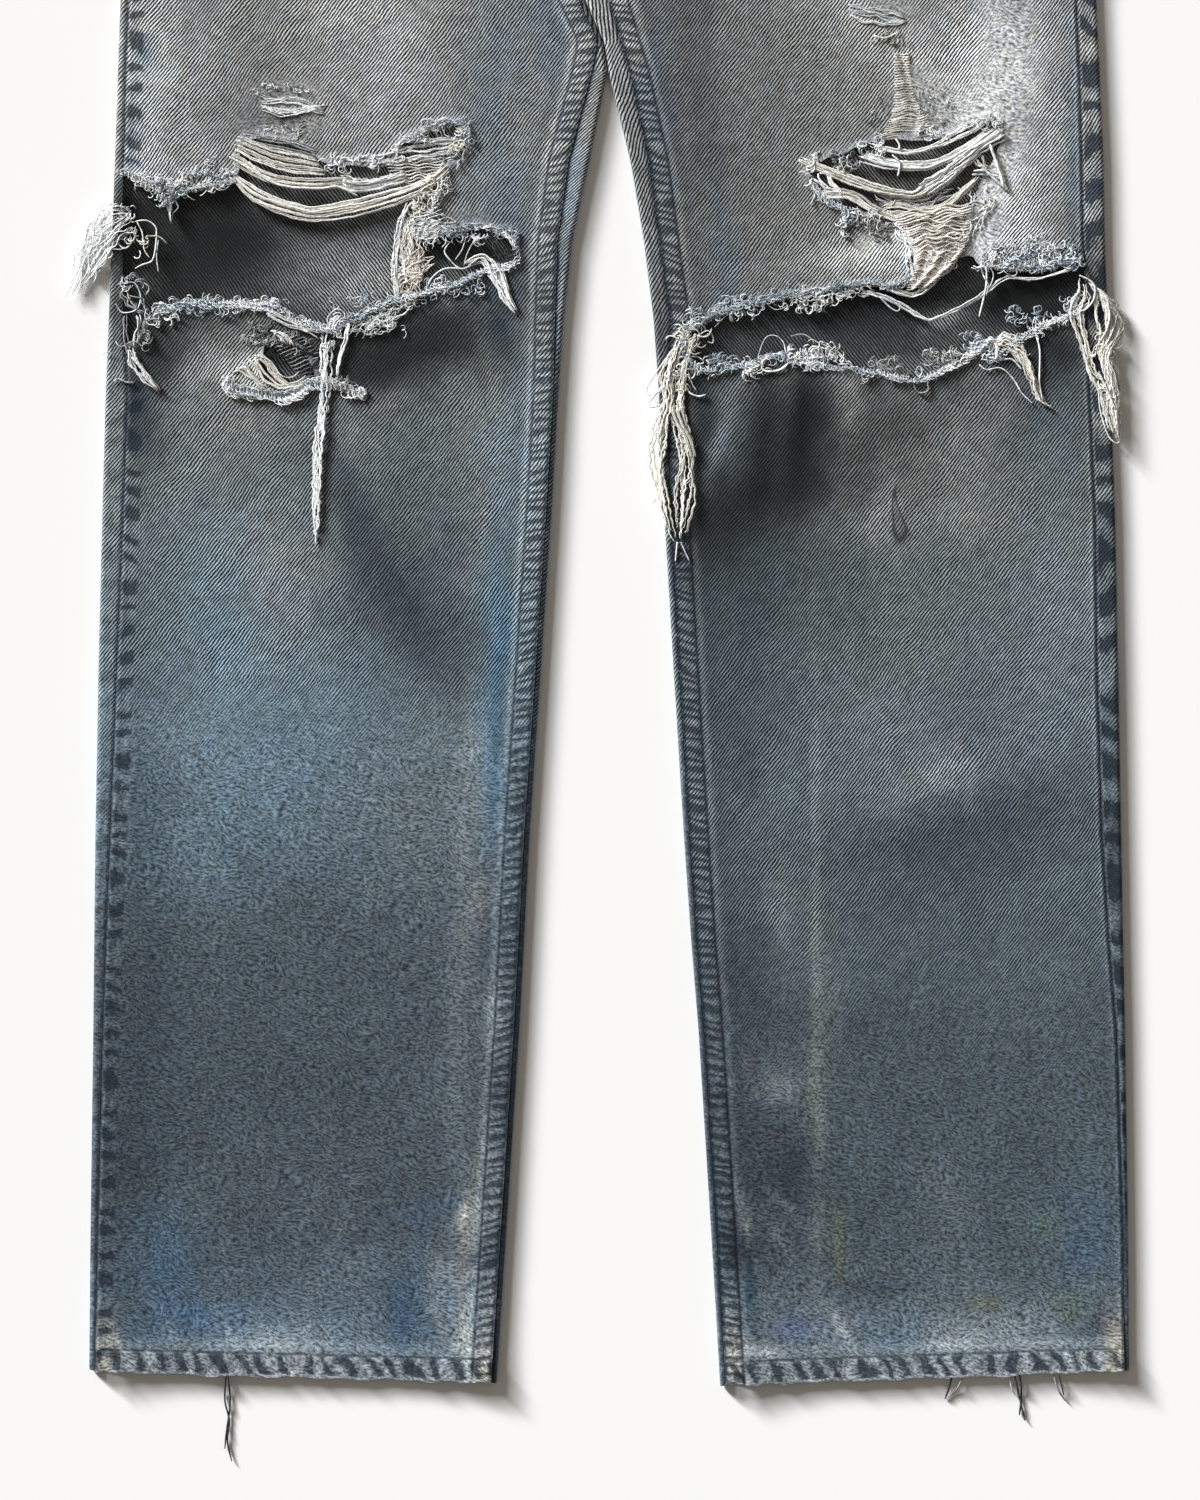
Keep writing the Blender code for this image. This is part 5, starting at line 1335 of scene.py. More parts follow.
def looped(path, seed, bare=(), per_mm=0.32, size=1.15, pitch=2.2, radius=0.3, tint="blue", back=1.2):
    """Yarn that lies along a torn edge in small loops, in lengths that overlap into a soft roll."""
    rng = np.random.default_rng(seed)
    around = np.linalg.norm(np.roll(path, -1, 0) - path, axis=1).sum()
    count, points, long = int(per_mm * around), 46, 17.0
    t = np.linspace(0, 1, points)
    spots = rng.uniform(0, around, (count, 1)) + long * t
    foot, ahead, inward = edge_frame(path, spots)
    kept = frayed(foot, bare).all(1)
    count, foot, ahead, inward = kept.sum(), foot[kept], ahead[kept], inward[kept]
    pace = 2 * math.pi / pitch * rng.uniform(0.8, 1.25, (count, 1))
    phase = pace * long * t + wiggles(rng, count, t, 1.1, 2)
    wide = size * (1 + wiggles(rng, count, t, 0.4, 2)) * rng.uniform(0.7, 1.25, (count, 1))
    shift = back * rng.uniform(-0.5, 2.2, (count, 1)) + wiggles(rng, count, t, 0.6, 1.5)
    spot = (foot + ahead * (0.8 * wide * np.cos(phase))[..., None]
            + inward * (wide * np.sin(phase) - shift)[..., None])
    level = top_of(foot[..., 0], foot[..., 1]) + 0.9 + 0.75 * np.cos(phase + 0.7)
    level = level + rng.uniform(-0.1, 0.8, (count, 1))
    path = np.concatenate([spot, level[..., None]], -1)
    return path, tapered(count, points, radius, rng), drawn(tint, count, rng, foot[:, 0])


def spin(name, batches, cad=None, look=yarn_look, sides=5):
    """Join yarns, each a closed tube along its points, into one piece."""
    corners, faces, tints, start = [], [], [], 0
    for points, radii, tint in batches:
        yarns, steps = points.shape[:2]
        ahead = np.gradient(points, axis=1)
        ahead /= np.linalg.norm(ahead, axis=2)[..., None] + 1e-9
        aside = np.cross(ahead, (0.02, 0.01, 1.0))
        aside /= np.linalg.norm(aside, axis=2)[..., None] + 1e-9
        over = np.cross(aside, ahead)
        angle = np.arange(sides) * 2 * math.pi / sides
        ring = np.cos(angle)[:, None] * aside[:, :, None] + np.sin(angle)[:, None] * over[:, :, None]
        ring = points[:, :, None] + radii[:, :, None, None] * ring
        corners.append(ring.reshape(-1, 3))
        index = start + np.arange(yarns * steps * sides).reshape(yarns, steps, sides)
        beside = np.roll(index, -1, 2)
        quads = np.stack([index[:, :-1], index[:, 1:], beside[:, 1:], beside[:, :-1]], -1)
        faces += quads.reshape(-1, 4).tolist() + index[:, 0].tolist() + index[:, -1, ::-1].tolist()
        tints.append(np.repeat(tint, steps * sides, 0))
        start += yarns * steps * sides
    corners = np.concatenate(corners) * MM + (ORIGIN_X, ORIGIN_Y, 0)
    piece = bpy.data.objects.new(name, bpy.data.meshes.new(name))
    piece.data.from_pydata(corners.tolist(), [], faces)
    bpy.context.collection.objects.link(piece)
    note(piece, "tint", np.concatenate(tints))
    piece.data.shade_smooth()
    piece.data.materials.append(look)
    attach(piece, "root")
    if cad:
        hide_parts(cad)
    return piece


FRINGE_PER_MM = 0.95
# The lip below the small tear on the shin.
SHIN_LIP = smooth_path((
    -216, 566, -210, 561.5, -202, 560, -195, 559, -188, 557.5, -182, 557, -174, 560, -169, 564, -160, 564,
    -148, 561, -137, 558, -148, 560, -160, 563, -169, 563, -174, 559, -182, 556, -195, 558, -210, 560.5), 1)
# Where bare weft joins the cloth round the tears, or the edge is turned away: boxes of low x, low height,
# high x, high height.
BARE_RIGHT = ((-214, 682, -118, 710), (-96, 686, -78, 700), (-300, 582, -260, 604))
BARE_LEFT = ((147, 632, 225, 716), (105, 684, 150, 716), (267, 600, 300, 660))
fray_right = spin("frayed_edges_right", [
    looped(torn[-1][0], 199, BARE_RIGHT),
    fringe(torn[-1][0], 201, ((-214, 682, -118, 710), (-300, 582, -259, 604))),
    # the worn place on the thigh, where the weft hangs across like a hammock
    hank((-197, 728, -187, 728, -174, 725, -158, 721), (-195, 719, -187, 717, -176, 717, -159, 714), 7, 205,
        0.36, "white", 0.2, 0.2, 0.4),
    hank((-195, 712, -182, 710, -169, 712), (-194, 701, -182, 698, -168, 700), 8, 207, 0.32, "grey", 0.1, 0.3,
        0.3),
    hank((-197, 722, -185, 720, -172, 720, -158, 722), (-194, 717, -184, 715, -171, 716, -157, 719), 7, 206,
        0.34, "white", 0.3, 0.2, 0.4, 0.2, 0.4),
    tangle(-193, 731, 6, 3, 30, 208, "white", 0.2, 0.5, (2, 4), 0.1),
    tangle(-175, 730, 7, 3, 30, 210, "white", 0.2, 0.5, (2, 4), 0.1),
    tangle(-186, 706, 13, 5, 40, 209, "white", 0.2, 0.5, (2, 4), 0.1),
    tangle(-238, 677, 9, 3, 40, 212, "white", 0.26),
    # loops and clumps of warp at the outer corner of the tear
    hank((-265, 678, -258, 677, -253, 671, -248, 662, -246, 654), (-248, 680, -243, 674, -242, 666, -245, 659,
        -246, 654), 9, 211, 0.34, "blue", 0.8, 0.3), tangle(-255, 676, 10, 5, 70, 213),
    tangle(-226, 684, 13, 4, 70, 215, "blue", 0.28, 0.5, (3, 6)), tangle(-269, 622, 4, 2.5, 26, 217),
    tangle(-262, 590, 4, 3, 16, 219, "grey", 0.3), tangle(-250, 603, 8, 5, 56, 221),
    tangle(-226, 608, 22, 3.5, 110, 223), tangle(-192, 609, 10, 3, 60, 225),
    tangle(-125, 610, 30, 3, 50, 227, radius=0.3), tangle(-82, 619, 14, 3, 50, 229),
    tangle(-127, 597, 14, 3, 40, 231, "white", 0.26),
    hank((-158, 600, -142, 604, -124, 609, -104, 618), (-152, 590, -136, 592, -120, 597, -105, 609), 22, 232,
        0.32, "white", 0.7, 0.4, 1.2, 0.45, 0.8), tangle(-105, 654, 6, 8, 60, 233, "blue", 0.3, 0.5, (3, 6)),
    tangle(-84, 648, 22, 3, 80, 235),
    hank((-66, 652, -58, 650, -52, 644, -47, 637), (-66, 648, -59, 647, -54, 642, -47, 637), 7, 237, 0.34,
        "white", 0.9, 0.2, 0.8, 0.3, 0.5), tangle(-93, 707, 14, 5, 60, 239, "white", 0.28, 0.4),
    tangle(-79, 704, 4, 7, 36, 241, radius=0.28),
    # the lip below the small tear on the shin
    looped(SHIN_LIP, 242, (), 0.3, 1.7, 2.6, 0.34, back=0.4),
    looped(SHIN_LIP, 243, (), 0.14, 2.0, 3.2, 0.34, "white"),
    # the mesh of thinned cloth in the small tear
    rungs((-193, 589, -184, 580, -176, 571, -172, 565), (-178, 594, -168, 588, -161, 578, -161, 568), 15, 254,
        0.34, "grey", 0.1, 0.7, 1.4, 0.3),
    hank((-191, 588, -181, 578, -174, 568), (-173, 592, -163, 583, -161, 570), 9, 255, 0.3, "dark", 0.3, 0.4,
        0.4), tangle(-150, 567, 8, 4, 40, 244, "grey", 0.26, 0.3, (4, 8)),
    tangle(-194, 592, 11, 6, 90, 247, "grey", 0.22, 0.25, (3, 6), 0.0),
    tangle(-176, 588, 9, 5, 40, 249, "grey", 0.22, 0.3, (3, 6), 0.0),
    laid((-276, 620, -267, 621, -263, 614, -265, 606, -273, 604, -277, 609), 245),
    laid((-261, 621, -258, 618, -260, 614), 246, "grey"),
    laid((-277, 588, -274, 585, -267, 588, -262, 585), 247),
    laid((-278, 565, -276, 567, -271, 565, -267, 565), 248),
    hank((-273, 620, -272, 611, -262, 603), (-268, 620, -266, 613, -258, 605), 7, 249, 0.5, "grey", 0.9, 0.7),
    hank((-273, 603, -273, 593, -271, 580), (-270, 603, -270, 593, -268, 582), 4, 256, 0.4, "grey"),
    hank((-266, 603, -266, 594, -268, 584), (-263, 603, -262, 596, -265, 586), 4, 257, 0.45, "white", 0.7,
        0.4),
    hank((-193, 608, -182, 603, -172, 597, -161, 594), (-192, 602, -183, 597, -174, 593, -162, 589), 5, 251,
        0.4, "white", 0.8, 0.2), laid((-199, 580, -190, 577, -184, 569, -178, 568, -174, 571), 253),
], sides=3)

fray_left = spin("frayed_edges_left", [
    looped(torn[1][0], 259, BARE_LEFT),
    fringe(torn[1][0], 261, ((147, 632, 225, 716), (105, 684, 150, 716), (268, 600, 300, 660))),
    hank((118, 617, 132, 620, 150, 621), (120, 611, 136, 613, 152, 615), 12, 262, 0.34, "white", 0.6, 0.3,
        0.8, 0.4, 0.6),
    # the worn place on the thigh, and the column of bare weft below it
    hank((135, 778, 143, 779, 156, 777, 168, 770), (136, 773, 143, 766, 156, 764, 168, 768), 8, 263, 0.4,
        "white", 0.3, 0.15, 0.4),
    hank((148, 762, 156, 760, 164, 764), (149, 759, 157, 758, 165, 762), 2, 265, 0.4, "cream"),
    rungs((161, 750, 161, 726, 159, 714, 153, 701), (170, 750, 172, 730, 177, 719, 186, 705), 34, 267,
        stack=0.4), tangle(183, 718, 13, 12, 60, 269, "white", 0.2, 0.4, (2, 4), 0.1),
    tangle(152, 712, 7, 12, 24, 271, "grey", 0.2, 0.4, (2, 4), 0.1),
    tangle(160, 760, 9, 5, 30, 272, "grey", 0.22, 0.4, (2, 5), 0.1),
    # the edges of the upper tear and of the long one below it
    tangle(150, 699, 8, 3.5, 60, 273, "white", 0.26), tangle(184, 705, 10, 2.5, 50, 275, "white", 0.26),
    tangle(212, 711, 9, 3, 60, 277, "white", 0.26), tangle(133, 690, 9, 4, 60, 279, "grey", 0.3),
    tangle(134, 656, 5, 6, 60, 281, "blue", 0.4, 0.6), tangle(147, 657, 9, 5, 80, 283, "grey", 0.36, 0.6),
    tangle(153, 651, 7, 4, 50, 285, "grey", 0.34, 0.6), tangle(240, 635, 28, 7, 300, 287, "blue", 0.34, 0.45),
    tangle(244, 641, 10, 4, 70, 289, "white", 0.3), tangle(186, 634, 9, 7, 90, 291, "white", 0.26),
    tangle(50, 600, 6, 4, 50, 293), tangle(66, 606, 9, 5, 80, 295, radius=0.34),
    tangle(80, 609, 8, 6, 80, 297, radius=0.34), tangle(112, 612, 24, 4.5, 150, 299, "white", 0.28),
    tangle(60, 575, 9, 4, 70, 301), tangle(82, 574, 8, 4, 80, 303, "white", 0.34),
    tangle(117, 580, 15, 6, 150, 305, "white", 0.3), tangle(156, 572, 14, 4.5, 110, 307, "grey", 0.3),
    tangle(190, 579, 13, 5, 90, 309, "grey"), tangle(206, 586, 8, 4, 60, 311),
    tangle(240, 603, 15, 3, 80, 313), tangle(261, 611, 5, 4, 50, 315),
    laid((84, 578, 87, 587, 90, 591, 95, 591, 99, 587, 100, 581), 317),
    laid((87, 574, 90, 579, 98, 581, 102, 577, 97, 572, 89, 571, 86, 574), 318, radius=0.6),
    laid((103, 591, 110, 592, 117, 588, 128, 583, 134, 577, 135, 571), 319, "cream", 0.5),
    laid((173, 571, 175, 574, 177, 571, 175, 568, 173, 571), 320, "grey", 0.5),
    laid((172, 563, 175, 567, 180, 565, 180, 560, 175, 559, 172, 563), 321, "grey", 0.6),
    laid((60, 596, 67, 603, 76, 609, 85, 612, 94, 606, 101, 608), 322),
    laid((197, 662, 202, 665, 207, 667, 211, 666, 214, 664), 323),
], sides=3)

# ---- Yarns across the right knee -----------------------------------------------------------------
# Undyed weft that has lost its warp. It still runs from one side of the tear to the other and sags
# across it in a swag, with a patch of it still woven at the inner end.
spin("ladder_right", [
    hank((-213, 686, -205, 680, -190, 671, -175, 666, -165, 664, -150, 667, -131, 671, -106, 678, -88, 691),
        (-216, 682, -209, 675, -202, 667, -183, 659, -165, 655, -140, 658, -117, 665, -98, 675, -86, 686), 11,
        331, 0.5, "cream"),
    hank((-208, 705, -191, 699, -182, 697, -171, 694, -162, 690), (-213, 696, -204, 691, -196, 687, -185, 683,
        -171, 681, -156, 681), 11, 333, 0.4, "cream", 0.3, 0.04),
    hank((-213, 696, -204, 691, -196, 686, -185, 682, -168, 680, -146, 681), (-215, 689, -206, 684, -197, 679,
        -185, 675, -168, 673, -151, 674, -136, 675), 8, 334, 0.42, "cream", 0.4, 0.04),
    hank((-150, 680, -140, 678, -128, 680, -114, 684), (-151, 674, -141, 671, -128, 673, -112, 678), 7, 335,
        0.4, "white", 0.5, 0.05),
    laid((-202, 689, -192, 679, -180, 675, -162, 674, -152, 675, -141, 670), 337, "white", 0.6, 1.8),
    hank((-206, 708, -192, 704, -178, 702, -162, 697), (-210, 700, -193, 698, -180, 695, -162, 690), 7, 332,
        0.36, "grey", 0.3),
    hank((-152, 693, -138, 692, -124, 694, -108, 698), (-153, 688, -140, 688, -126, 689, -109, 691), 16, 336,
        0.32, "white", 0.5, 0.4, 0.8, 0.45, 0.7),
    hank((-154, 685, -142, 681, -130, 680, -114, 685), (-154, 677, -142, 674, -130, 674, -114, 679), 11, 338,
        0.36, "white", 0.3, 0.2, 0.5, 0.2, 0.5),
    hank((-121, 700, -110, 702, -96, 704, -83, 704), (-121, 688, -108, 688, -95, 689, -83, 692), 13, 338, 0.4,
        "white", 0.3, 0.08, 0.8, 0.08, 0.4),
    rungs((-125, 691, -122, 677), (-91, 691, -92, 678), 9, 341, 0.42, "cream", 0.5, 1.0, 3.0),
    tangle(-97, 674, 7, 4, 60, 343, "cream", 0.34), tangle(-106, 666, 7, 5, 60, 345, "cream", 0.34),
    tangle(-84, 696, 5, 3, 30, 347, "cream", 0.34), tangle(-138, 689, 22, 3, 80, 349, "white", 0.26, 0.4),
], "yarn_ladder_right")

spin("column_right", [
    hank((-113, 667, -118, 656, -121, 641, -122, 626, -120, 611), (-110, 667, -115, 656, -117, 641, -118, 626,
        -117, 611), 4, 351, 0.5, "white", 1.0, 0.1, 0.8, 0.04, 0.5),
    hank((-115, 660, -118, 650, -119, 635, -119, 622, -117, 611), (-109, 662, -109, 650, -107, 636, -108, 624,
        -109, 610), 30, 353, 0.36, "cream", 0.5, 0.5, 1.4, 0.25, 0.8),
    hank((-115, 640, -116, 628, -114, 614), (-105, 642, -104, 632, -106, 618), 20, 354, 0.34, "blush", 1.0,
        0.6, 1.0, 0.4, 1.0),
    hank((-110, 664, -108, 652, -104, 638), (-90, 662, -92, 652, -97, 638), 30, 355, 0.3, "white", 1.2, 0.5,
        1.0, 0.45, 0.8), tangle(-112, 612, 7, 4, 30, 357, "cream", 0.34, 0.3),
], "yarn_column_right")

spin("tuft_outer_right", [
    hank((-270, 664, -279, 667, -288, 663, -293, 653, -297, 642, -300, 631, -303, 621, -306, 612), (-266, 658,
        -268, 652, -274, 645, -280, 638, -285, 631, -290, 624, -296, 617, -301, 611), 50, 361, 0.3, "white",
        0.6, 0.22, 2.4, 0.42, 0.12),
    laid((-268, 655, -260, 656, -255, 653, -254, 649, -255, 638, -257, 633, -262, 631, -266, 629), 363,
        "cream"), laid((-265, 655, -262, 649, -261, 640, -258, 635), 364, "cream"),
    laid((-260, 647, -253, 647, -248, 643), 365, "cream"),
    laid((-265, 651, -267, 645, -272, 640, -277, 645), 366),
    laid((-253, 645, -254, 636, -253, 627), 367, radius=0.3), tangle(-269, 659, 4, 4, 26, 368, "white", 0.26),
    tangle(-266, 644, 6, 5, 24, 369, "cream", 0.34),
], "yarn_tuft_outer_right")

spin("tuft_inner_right", [
    hank((-82, 631, -71, 638, -60, 628, -55, 614, -50, 603), (-80, 629, -71, 632, -66, 622, -60, 612,
        -50, 602), 22, 371, 0.46, "white", 1.0, 0.2, 1.6, 0.3),
    laid((-89, 644, -92, 639, -89, 634, -83, 629, -77, 631), 373),
    laid((-102, 618, -99, 624, -92, 629, -82, 629), 374), laid((-80, 647, -82, 640, -86, 634), 375, "grey"),
    laid((-74, 647, -79, 638, -81, 631), 376, "grey"), tangle(-94, 619, 8, 4, 40, 377),
    tangle(-58, 637, 5, 5, 24, 379, "dark", 0.3),
], "yarn_tuft_inner_right")

spin("knot_right", [
    hank((-160, 596, -161, 584, -161.5, 567, -163, 539, -166, 505, -166.5, 474), (-155, 595, -157, 583,
        -157.5, 565, -159, 537, -162, 504, -163.5, 473), 13, 381, 0.46, "white", 0.5, 0.5, 1.6, 0.1, 0.9),
    hank((-148, 600, -149, 590, -152, 580, -153, 568), (-145, 599, -147, 588, -150, 579, -152, 568), 3, 382,
        0.55, wander=0.2, ends=0.05, crimp=0.4),
    laid((-174, 601, -168, 598, -161, 593, -155, 597), 383, radius=0.5),
    laid((-152, 596, -148, 603, -153, 606, -158, 600, -153, 594), 384, radius=0.5),
    tangle(-152, 597, 6, 6, 60, 385, "white", 0.36), tangle(-157, 584, 3, 6, 20, 387, "white", 0.34),
], "yarn_knot_right")

spin("tuft_low_right", [
    hank((-270, 584, -270, 576, -266, 570, -260, 565, -253, 559), (-267, 584, -264, 577, -259, 571, -255, 566,
        -252, 560), 16, 391, 0.42, "white", 1.0, 0.2, 1.6, 0.2),
], "yarn_tuft_low_right")

spin("patch_right", [
    hank((-192, 594, -187, 592, -182, 586), (-184, 595, -179, 590, -174, 584), 8, 395, 0.44, "white", 0.8,
        0.2, 0.8, 0.2, 0.5),
    hank((-195, 582, -190, 577, -185, 570, -179, 565, -174, 566, -169, 571), (-204, 578, -200, 574, -195, 567,
        -188, 562, -182, 561, -172, 563), 9, 396, 0.44, "cream", 0.6, 0.06, 0.7, 0.05, 0.4),
    hank((-205, 577, -201, 573, -196, 566, -189, 561), (-214, 569, -208, 571, -202, 567, -196, 561), 7, 397,
        0.44, "cream", 0.4, 0.08, 0.7, 0.1, 0.4),
], "yarn_patch_right")

# ---- Yarns across the left knee ------------------------------------------------------------------
# The same undyed weft, in a swag across the upper tear and a waisted web of crinkled yarn below it,
# with two long hanks of it fallen down beside the leg.
spin("ladder_left", [
    hank((146, 700, 162, 697, 171, 696, 182, 699, 190, 704, 197, 708, 204, 713), (149, 698, 162, 694,
        173, 694, 187, 698, 199, 703, 209, 707, 216, 713), 6, 401, 0.46),
    hank((144, 697, 153, 693, 165, 690, 179, 690, 188, 692, 197, 697, 207, 703, 217, 711), (139, 690,
        151, 686, 165, 684, 179, 684, 190, 688, 200, 693, 210, 700, 221, 708), 11, 403, 0.46, "white", 0.7,
        0.06),
    hank((108, 693, 125, 686, 139, 681, 153, 676, 165, 673, 173, 673, 180, 680, 192, 687, 201, 695, 213, 703,
        224, 711), (107, 689, 124, 681, 138, 675, 152, 671, 165, 669, 175, 669, 187, 676, 197, 682, 204, 689,
        213, 699, 225, 708), 16, 405, 0.48, "cream", 0.8),
    hank((174, 676, 184, 681, 195, 690, 206, 698, 222, 708), (180, 668, 192, 676, 201, 684, 211, 694,
        226, 703), 12, 406, 0.52, "white", 1.3, 0.12, crimp=0.4),
    hank((199, 678, 203, 664, 201, 645), (213, 682, 214, 664, 207, 645), 14, 408, 0.3, "white", 0.4, 0.4, 0.8,
        0.5, 0.7),
    hank((118, 673, 132, 674, 142, 671, 150, 665, 162, 660, 171, 657), (116, 667, 132, 668, 140, 665,
        149, 660, 160, 656, 169, 653), 11, 409, 0.46, "cream", 0.7),
    hank((153, 665, 163, 666, 175, 664, 186, 665, 193, 669, 200, 675, 208, 682), (156, 659, 165, 658,
        177, 657, 188, 659, 196, 666, 203, 673, 210, 680), 10, 411, 0.44, "cream", 0.7),
    hank((148, 676, 164, 671, 178, 672, 192, 679), (150, 667, 165, 663, 180, 664, 198, 672), 12, 410, 0.36,
        "grey", 0.1, 0.3, 0.5, 0.1, 0.5), laid((150, 660, 156, 662, 160, 665, 162, 668), 413, "cream"),
    laid((160, 693, 164, 689, 164, 684, 163, 681), 414, "white", 0.55, 2.0),
    laid((162, 702, 164, 699, 164, 696), 415, "white", 0.5, 2.0), laid((117, 673, 116, 669, 114, 665), 416),
    laid((215, 699, 218, 691, 221, 682, 223, 674), 417, "white", 0.75, 2.0),
    laid((206, 684, 212, 684, 217, 680, 222, 675), 418, "white", 0.75, 1.8),
    laid((205, 682, 213, 682, 220, 681), 419, radius=0.6),
    hank((206, 690, 208, 685, 213, 683), (211, 694, 213, 690, 216, 686), 5, 420, 0.4, "cream", 0.8, 0.3, 0.8,
        0.1, 0.8),
    hank((119, 684, 124, 682, 130, 676, 134, 671), (113, 679, 117, 672, 124, 667, 132, 666), 9, 421, 0.5,
        "white", 0.8, 0.2, 1.0, 0.1, 0.5), tangle(115, 690, 5, 3, 20, 425, "white", 0.34),
], "yarn_ladder_left")

spin("column_left", [
    hank((163, 660, 169, 646, 173, 632, 171, 618), (203, 662, 200, 646, 193, 632, 182, 619), 24, 429, 0.6,
        "white", 0.7, 0.3, 0.4, 0.1, 0.8),
    rungs((161, 659, 166, 648, 172, 638, 172, 627, 168, 617), (205, 666, 204, 652, 201, 642, 195, 632,
        184, 620), 34, 431, 0.5, "blush", 1.5, 2.6, 2.3, 0.6),
    rungs((172, 658, 178, 648, 180, 638), (202, 660, 199, 648, 195, 638), 9, 433, 0.5, "cream", 2.4, 2.2,
        1.6),
    hank((157, 662, 163, 650, 168, 638, 170, 624, 172, 615), (163, 662, 170, 650, 174, 638, 174, 625,
        176, 615), 16, 437, 0.36, "white", 0.9, 0.4, 1.2, 0.4, 0.8),
], "yarn_column_left")

spin("loose_arcs_left", [
    hank((152, 622, 162, 620, 168, 617, 173, 616, 179, 620, 184, 625), (151, 619, 160, 614, 168, 612,
        174, 613, 182, 618, 187, 624), 5, 441, lift=0.5, wander=0.15),
    hank((138, 618, 153, 615, 165, 610, 173, 605, 179, 601, 183, 601, 196, 607, 207, 613, 215, 619, 224, 627),
        (141, 615, 155, 612, 165, 607, 173, 602, 179, 600, 184, 600, 197, 605, 209, 612, 218, 618, 226, 624),
        4, 443, 0.46, lift=0.5, stack=0.5), laid((153, 613, 159, 607, 163, 605, 164, 608, 156, 614), 445),
    laid((211, 633, 213, 628, 213, 620, 211, 610, 209, 602), 446, radius=0.55),
    laid((210, 633, 211, 626, 214, 620, 213, 614), 447), laid((213, 632, 217, 626, 215, 619, 211, 614), 448),
    hank((221, 623, 226, 625, 238, 624, 249, 626, 264, 631), (221, 621, 227, 623, 238, 622, 249, 624,
        264, 629), 4, 449, wander=0.2, stack=0.5),
])

spin("bundle_inner_left", [
    hank((44, 597, 38, 588, 33, 578, 30, 567, 32, 556, 27, 544, 24, 533, 24, 519, 27, 508, 30, 493, 34, 481,
        38, 475), (47, 596, 43, 586, 38, 576, 36, 565, 36, 556, 34, 544, 33, 530, 32, 519, 32, 508, 34, 493,
        37, 481, 39, 475), 14, 451, 0.44, "cream", 0.6, 0.4, 1.6, 0.12, 0.7),
    hank((47, 596, 43, 586, 38, 575, 36, 563, 36, 554, 38, 541, 39, 527, 40, 513, 39, 496, 39, 482, 40, 474),
        (52, 593, 50, 583, 46, 571, 44, 560, 43, 553, 46, 539, 48, 525, 49, 512, 47, 496, 44, 483, 42, 474),
        14, 453, 0.44, "cream", 0.8, 0.4, 1.8, 0.12, 0.7),
    hank((34, 554, 37, 544, 43, 532, 46, 522), (40, 552, 42, 543, 48, 533, 50, 522), 4, 455, 0.44, "cream",
        2.0), laid((34, 580, 27, 570, 22, 562, 23, 558, 29, 560, 36, 567), 457, lift=0.9),
    laid((30, 562, 25, 556, 23, 553, 25, 551, 32, 553), 458, lift=0.9),
    laid((41, 587, 50, 591, 56, 594, 59, 591, 59, 587, 56, 588), 459),
    laid((50, 585, 46, 580, 51, 579, 54, 576, 49, 575), 460),
    laid((44, 577, 44, 570, 47, 567, 49, 570, 49, 577), 461),
    laid((43, 565, 46, 559, 51, 557, 55, 558), 462, radius=0.55),
    laid((45, 572, 47, 565, 50, 560), 463, "cream"), laid((29, 506, 28, 501, 25, 497), 464, lift=0.5),
    laid((39, 475, 38, 464), 465), laid((41, 475, 46, 464), 466),
    tangle(45, 590, 6, 6, 40, 467, "cream", 0.38, 0.3, (6, 12)),
    tangle(40, 568, 6, 8, 40, 468, "cream", 0.36), tangle(44, 533, 4, 4, 16, 469, "cream"),
], "yarn_bundle_inner_left")

spin("bundle_outer_left", [
    hank((265, 624, 265, 616, 262, 609, 261, 602, 264, 592, 266, 583, 268, 574, 271, 566, 276, 559, 277, 549,
        281, 539, 287, 532), (268, 622, 270, 612, 267, 606, 267, 600, 270, 589, 272, 580, 274, 572, 279, 565,
        282, 557, 283, 548, 285, 539, 288, 531), 13, 471, 0.42, "cream", 0.8, 0.35, 1.4, 0.1, 0.6),
    hank((268, 623, 274, 616, 275, 605, 276, 594, 274, 585, 277, 576, 280, 565, 282, 553, 284, 541, 288, 531),
        (273, 620, 281, 613, 288, 605, 292, 596, 288, 588, 285, 580, 289, 570, 290, 558, 289, 544, 288, 531),
        21, 473, 0.42, "cream", 0.8, 0.3, 2.0, 0.1, 0.7),
    laid((265, 625, 271, 622, 274, 618, 273, 611, 269, 606, 266, 605), 475, "white", 0.6, 2.2),
    laid((277, 614, 282, 605, 281, 596, 277, 588), 476, lift=2.4),
    laid((281, 612, 286, 603, 284, 594, 280, 586), 477, lift=2.4),
    laid((284, 607, 289, 600, 287, 592, 282, 584), 478, lift=2.2),
    laid((276, 571, 282, 558, 289, 541), 479, lift=2.2), laid((277, 564, 284, 556, 289, 560), 480, lift=2.2),
    laid((276, 560, 277, 549, 281, 536, 285, 531, 288, 532, 289, 540), 481),
    tangle(279, 583, 6, 7, 60, 483, "cream", 0.3, 0.4, (5, 10), 1.0),
    tangle(282, 562, 3, 8, 24, 485, "cream", 0.3, 0.3, (5, 10), 0.8),
], "yarn_bundle_outer_left")

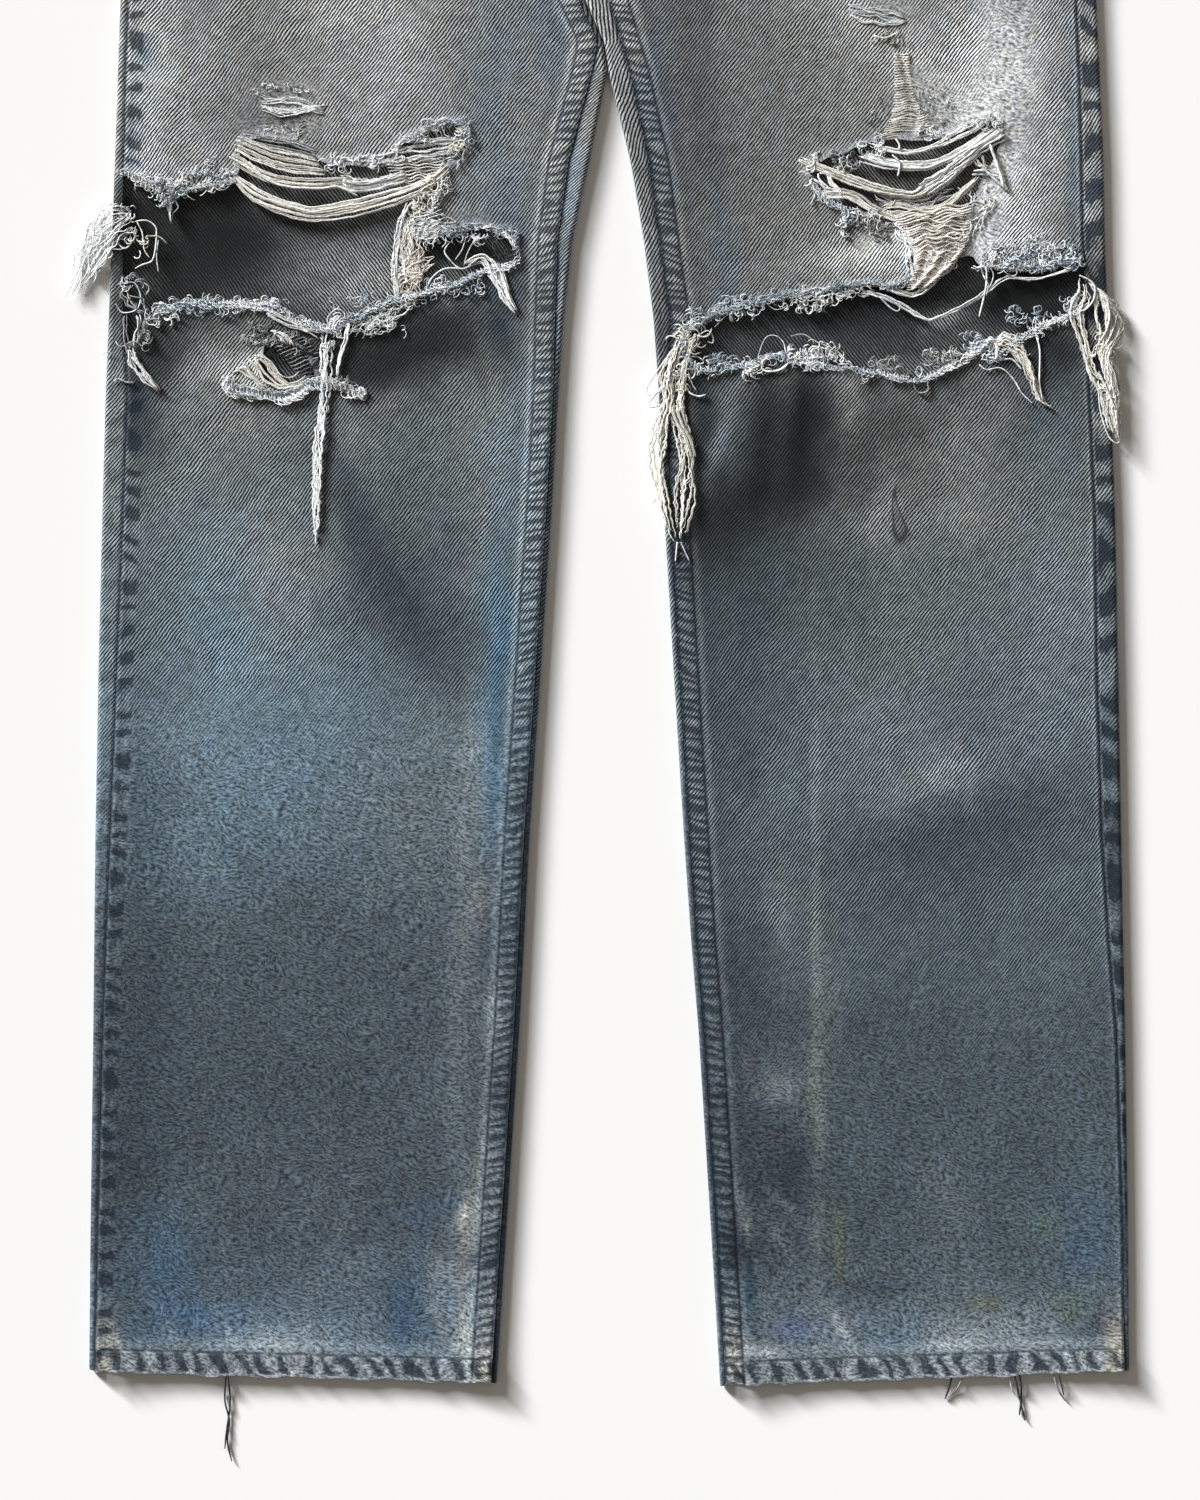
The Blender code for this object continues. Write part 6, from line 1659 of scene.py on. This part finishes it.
spin("tuft_left", [
    hank((218, 591, 228, 591, 235, 583, 240, 571, 244, 558, 253, 549), (215, 585, 224, 583, 231, 577,
        237, 567, 241, 556, 248, 551), 15, 491, 0.48, "cream", 0.8, 0.3, 1.6, 0.25, 0.6),
    hank((208, 582, 214, 589, 222, 594, 231, 592), (212, 577, 219, 582, 226, 587, 232, 586), 9, 492, 0.5,
        "white", 1.0, 0.5, 1.6, 0.2, 0.9),
    laid((209, 575, 213, 572, 221, 573, 228, 567, 233, 559, 239, 553), 493, radius=0.5),
    laid((210, 578, 218, 577, 227, 578, 233, 572), 494), laid((209, 580, 217, 579, 225, 583, 231, 576), 495),
    laid((241, 600, 241, 592, 243, 584, 243, 572, 243, 564, 245, 553), 496, radius=0.5),
    laid((233, 579, 238, 581), 497), tangle(214, 583, 6, 5, 40, 498, radius=0.34),
], "yarn_tuft_left")

# ---- Hem threads ---------------------------------------------------------------------------------
# Ends of sewing thread and of frayed warp that hang below the hems on to the table.
thread_look = tinted("hem_thread", (0.75, 1.1))
for place, threads in {
    "right": [
        laid((-215, 6, -216, -8, -213.5, -20, -214.5, -32, -212, -43), 501, "dark", 0.7, 0.4),
        laid((-214, 6, -213, -10, -215, -26, -216, -36), 502, "dark", 0.5, 0.4),
    ],
    "left_a": [
        laid((194, 6, 192, -2, 190, -8), 503, "dark", 0.5, 0.4),
        laid((190, -8, 196, -3, 200, 6), 504, "grey", 0.4, 0.4),
    ],
    "left_b": [
        laid((229, 6, 232, -7, 235, -20), 505, "dark", 0.7, 0.4),
        laid((232, 6, 233, -6, 232, -17), 506, "dark", 0.5, 0.4),
        laid((226, 6, 228, -3, 233, -10), 507, "grey", 0.45, 0.4),
    ],
    "left_c": [
        laid((251, 6, 254, -3, 258, -9), 508, "grey", 0.5, 0.4),
        laid((254, 6, 256, -2, 257, -6), 509, "dark", 0.5, 0.4),
    ],
}.items():
    spin("loose_thread_" + place, threads, "hem_thread_" + place, thread_look)

# ---- Stitches ------------------------------------------------------------------------------------
# Washed-out thread in the cloth's own tone: two rows round the scoops and down the fly, a row along
# both edges of the band, and bar tacks on the belt loops.
def stitches(path, level, pitch=3.4, length=2.5, radius=0.26):
    """A row of stitches along (x, height) points, at a level or at a level for each place."""
    path = np.array(path, float)
    starts = np.arange(0.5, run_of(path)[-1] - length, pitch)
    spots = starts[:, None] + np.linspace(0, length, 4)
    rows = places_on(path, spots)
    height = level(rows[..., 0], rows[..., 1]) if callable(level) else np.full(spots.shape, float(level))
    height = height + radius * np.array([-0.6, 0.5, 0.5, -0.6])
    rng = np.random.default_rng(len(starts))
    return (np.concatenate([rows, height[..., None]], 2), np.full(spots.shape, radius),
            linear(screen((0x606870,))) * rng.uniform(0.8, 1.2, (len(starts), 1)))


rows = []
for inset in (35.0, 30.0):
    bend = [(inset * math.cos(a), FLY_TURN + inset * math.sin(a))
            for a in np.radians(np.linspace(-88, 0, 20))]
    rows.append(stitches(bend + [(inset, 1029)], 7.15))
for side in SIDES:
    for inset in (3.0, 8.0):
        path = [(x, y) for x, y in scoop(side, np.linspace(14, 88, 40), inset)
                if side * x < 238 and y < front_waist(side * x) - 1]
        rows.append(stitches(path, lambda x, y: top_of(x, y) + 0.05))
    for beside_band in (39, -7.5):
        y = float(front_waist(LOOP_X)) + beside_band
        tack = [(side * LOOP_X - 4.5, y), (side * LOOP_X + 4.5, y)]
        rows.append(stitches(tack, 7.95, 1.0, 0.9, 0.2))
for rise in (3.0, 36.5):
    for start, end, count, level in ((40, 212, 60, 6.45), (-25.5, -212, 60, 6.45), (-21, 29, 20, 8.75)):
        x = np.linspace(start, end, count)
        rows.append(stitches(np.stack([x, front_waist(np.abs(x)) + rise], 1), level))
spin("seam_stitches", rows, None, thread_look, 4)
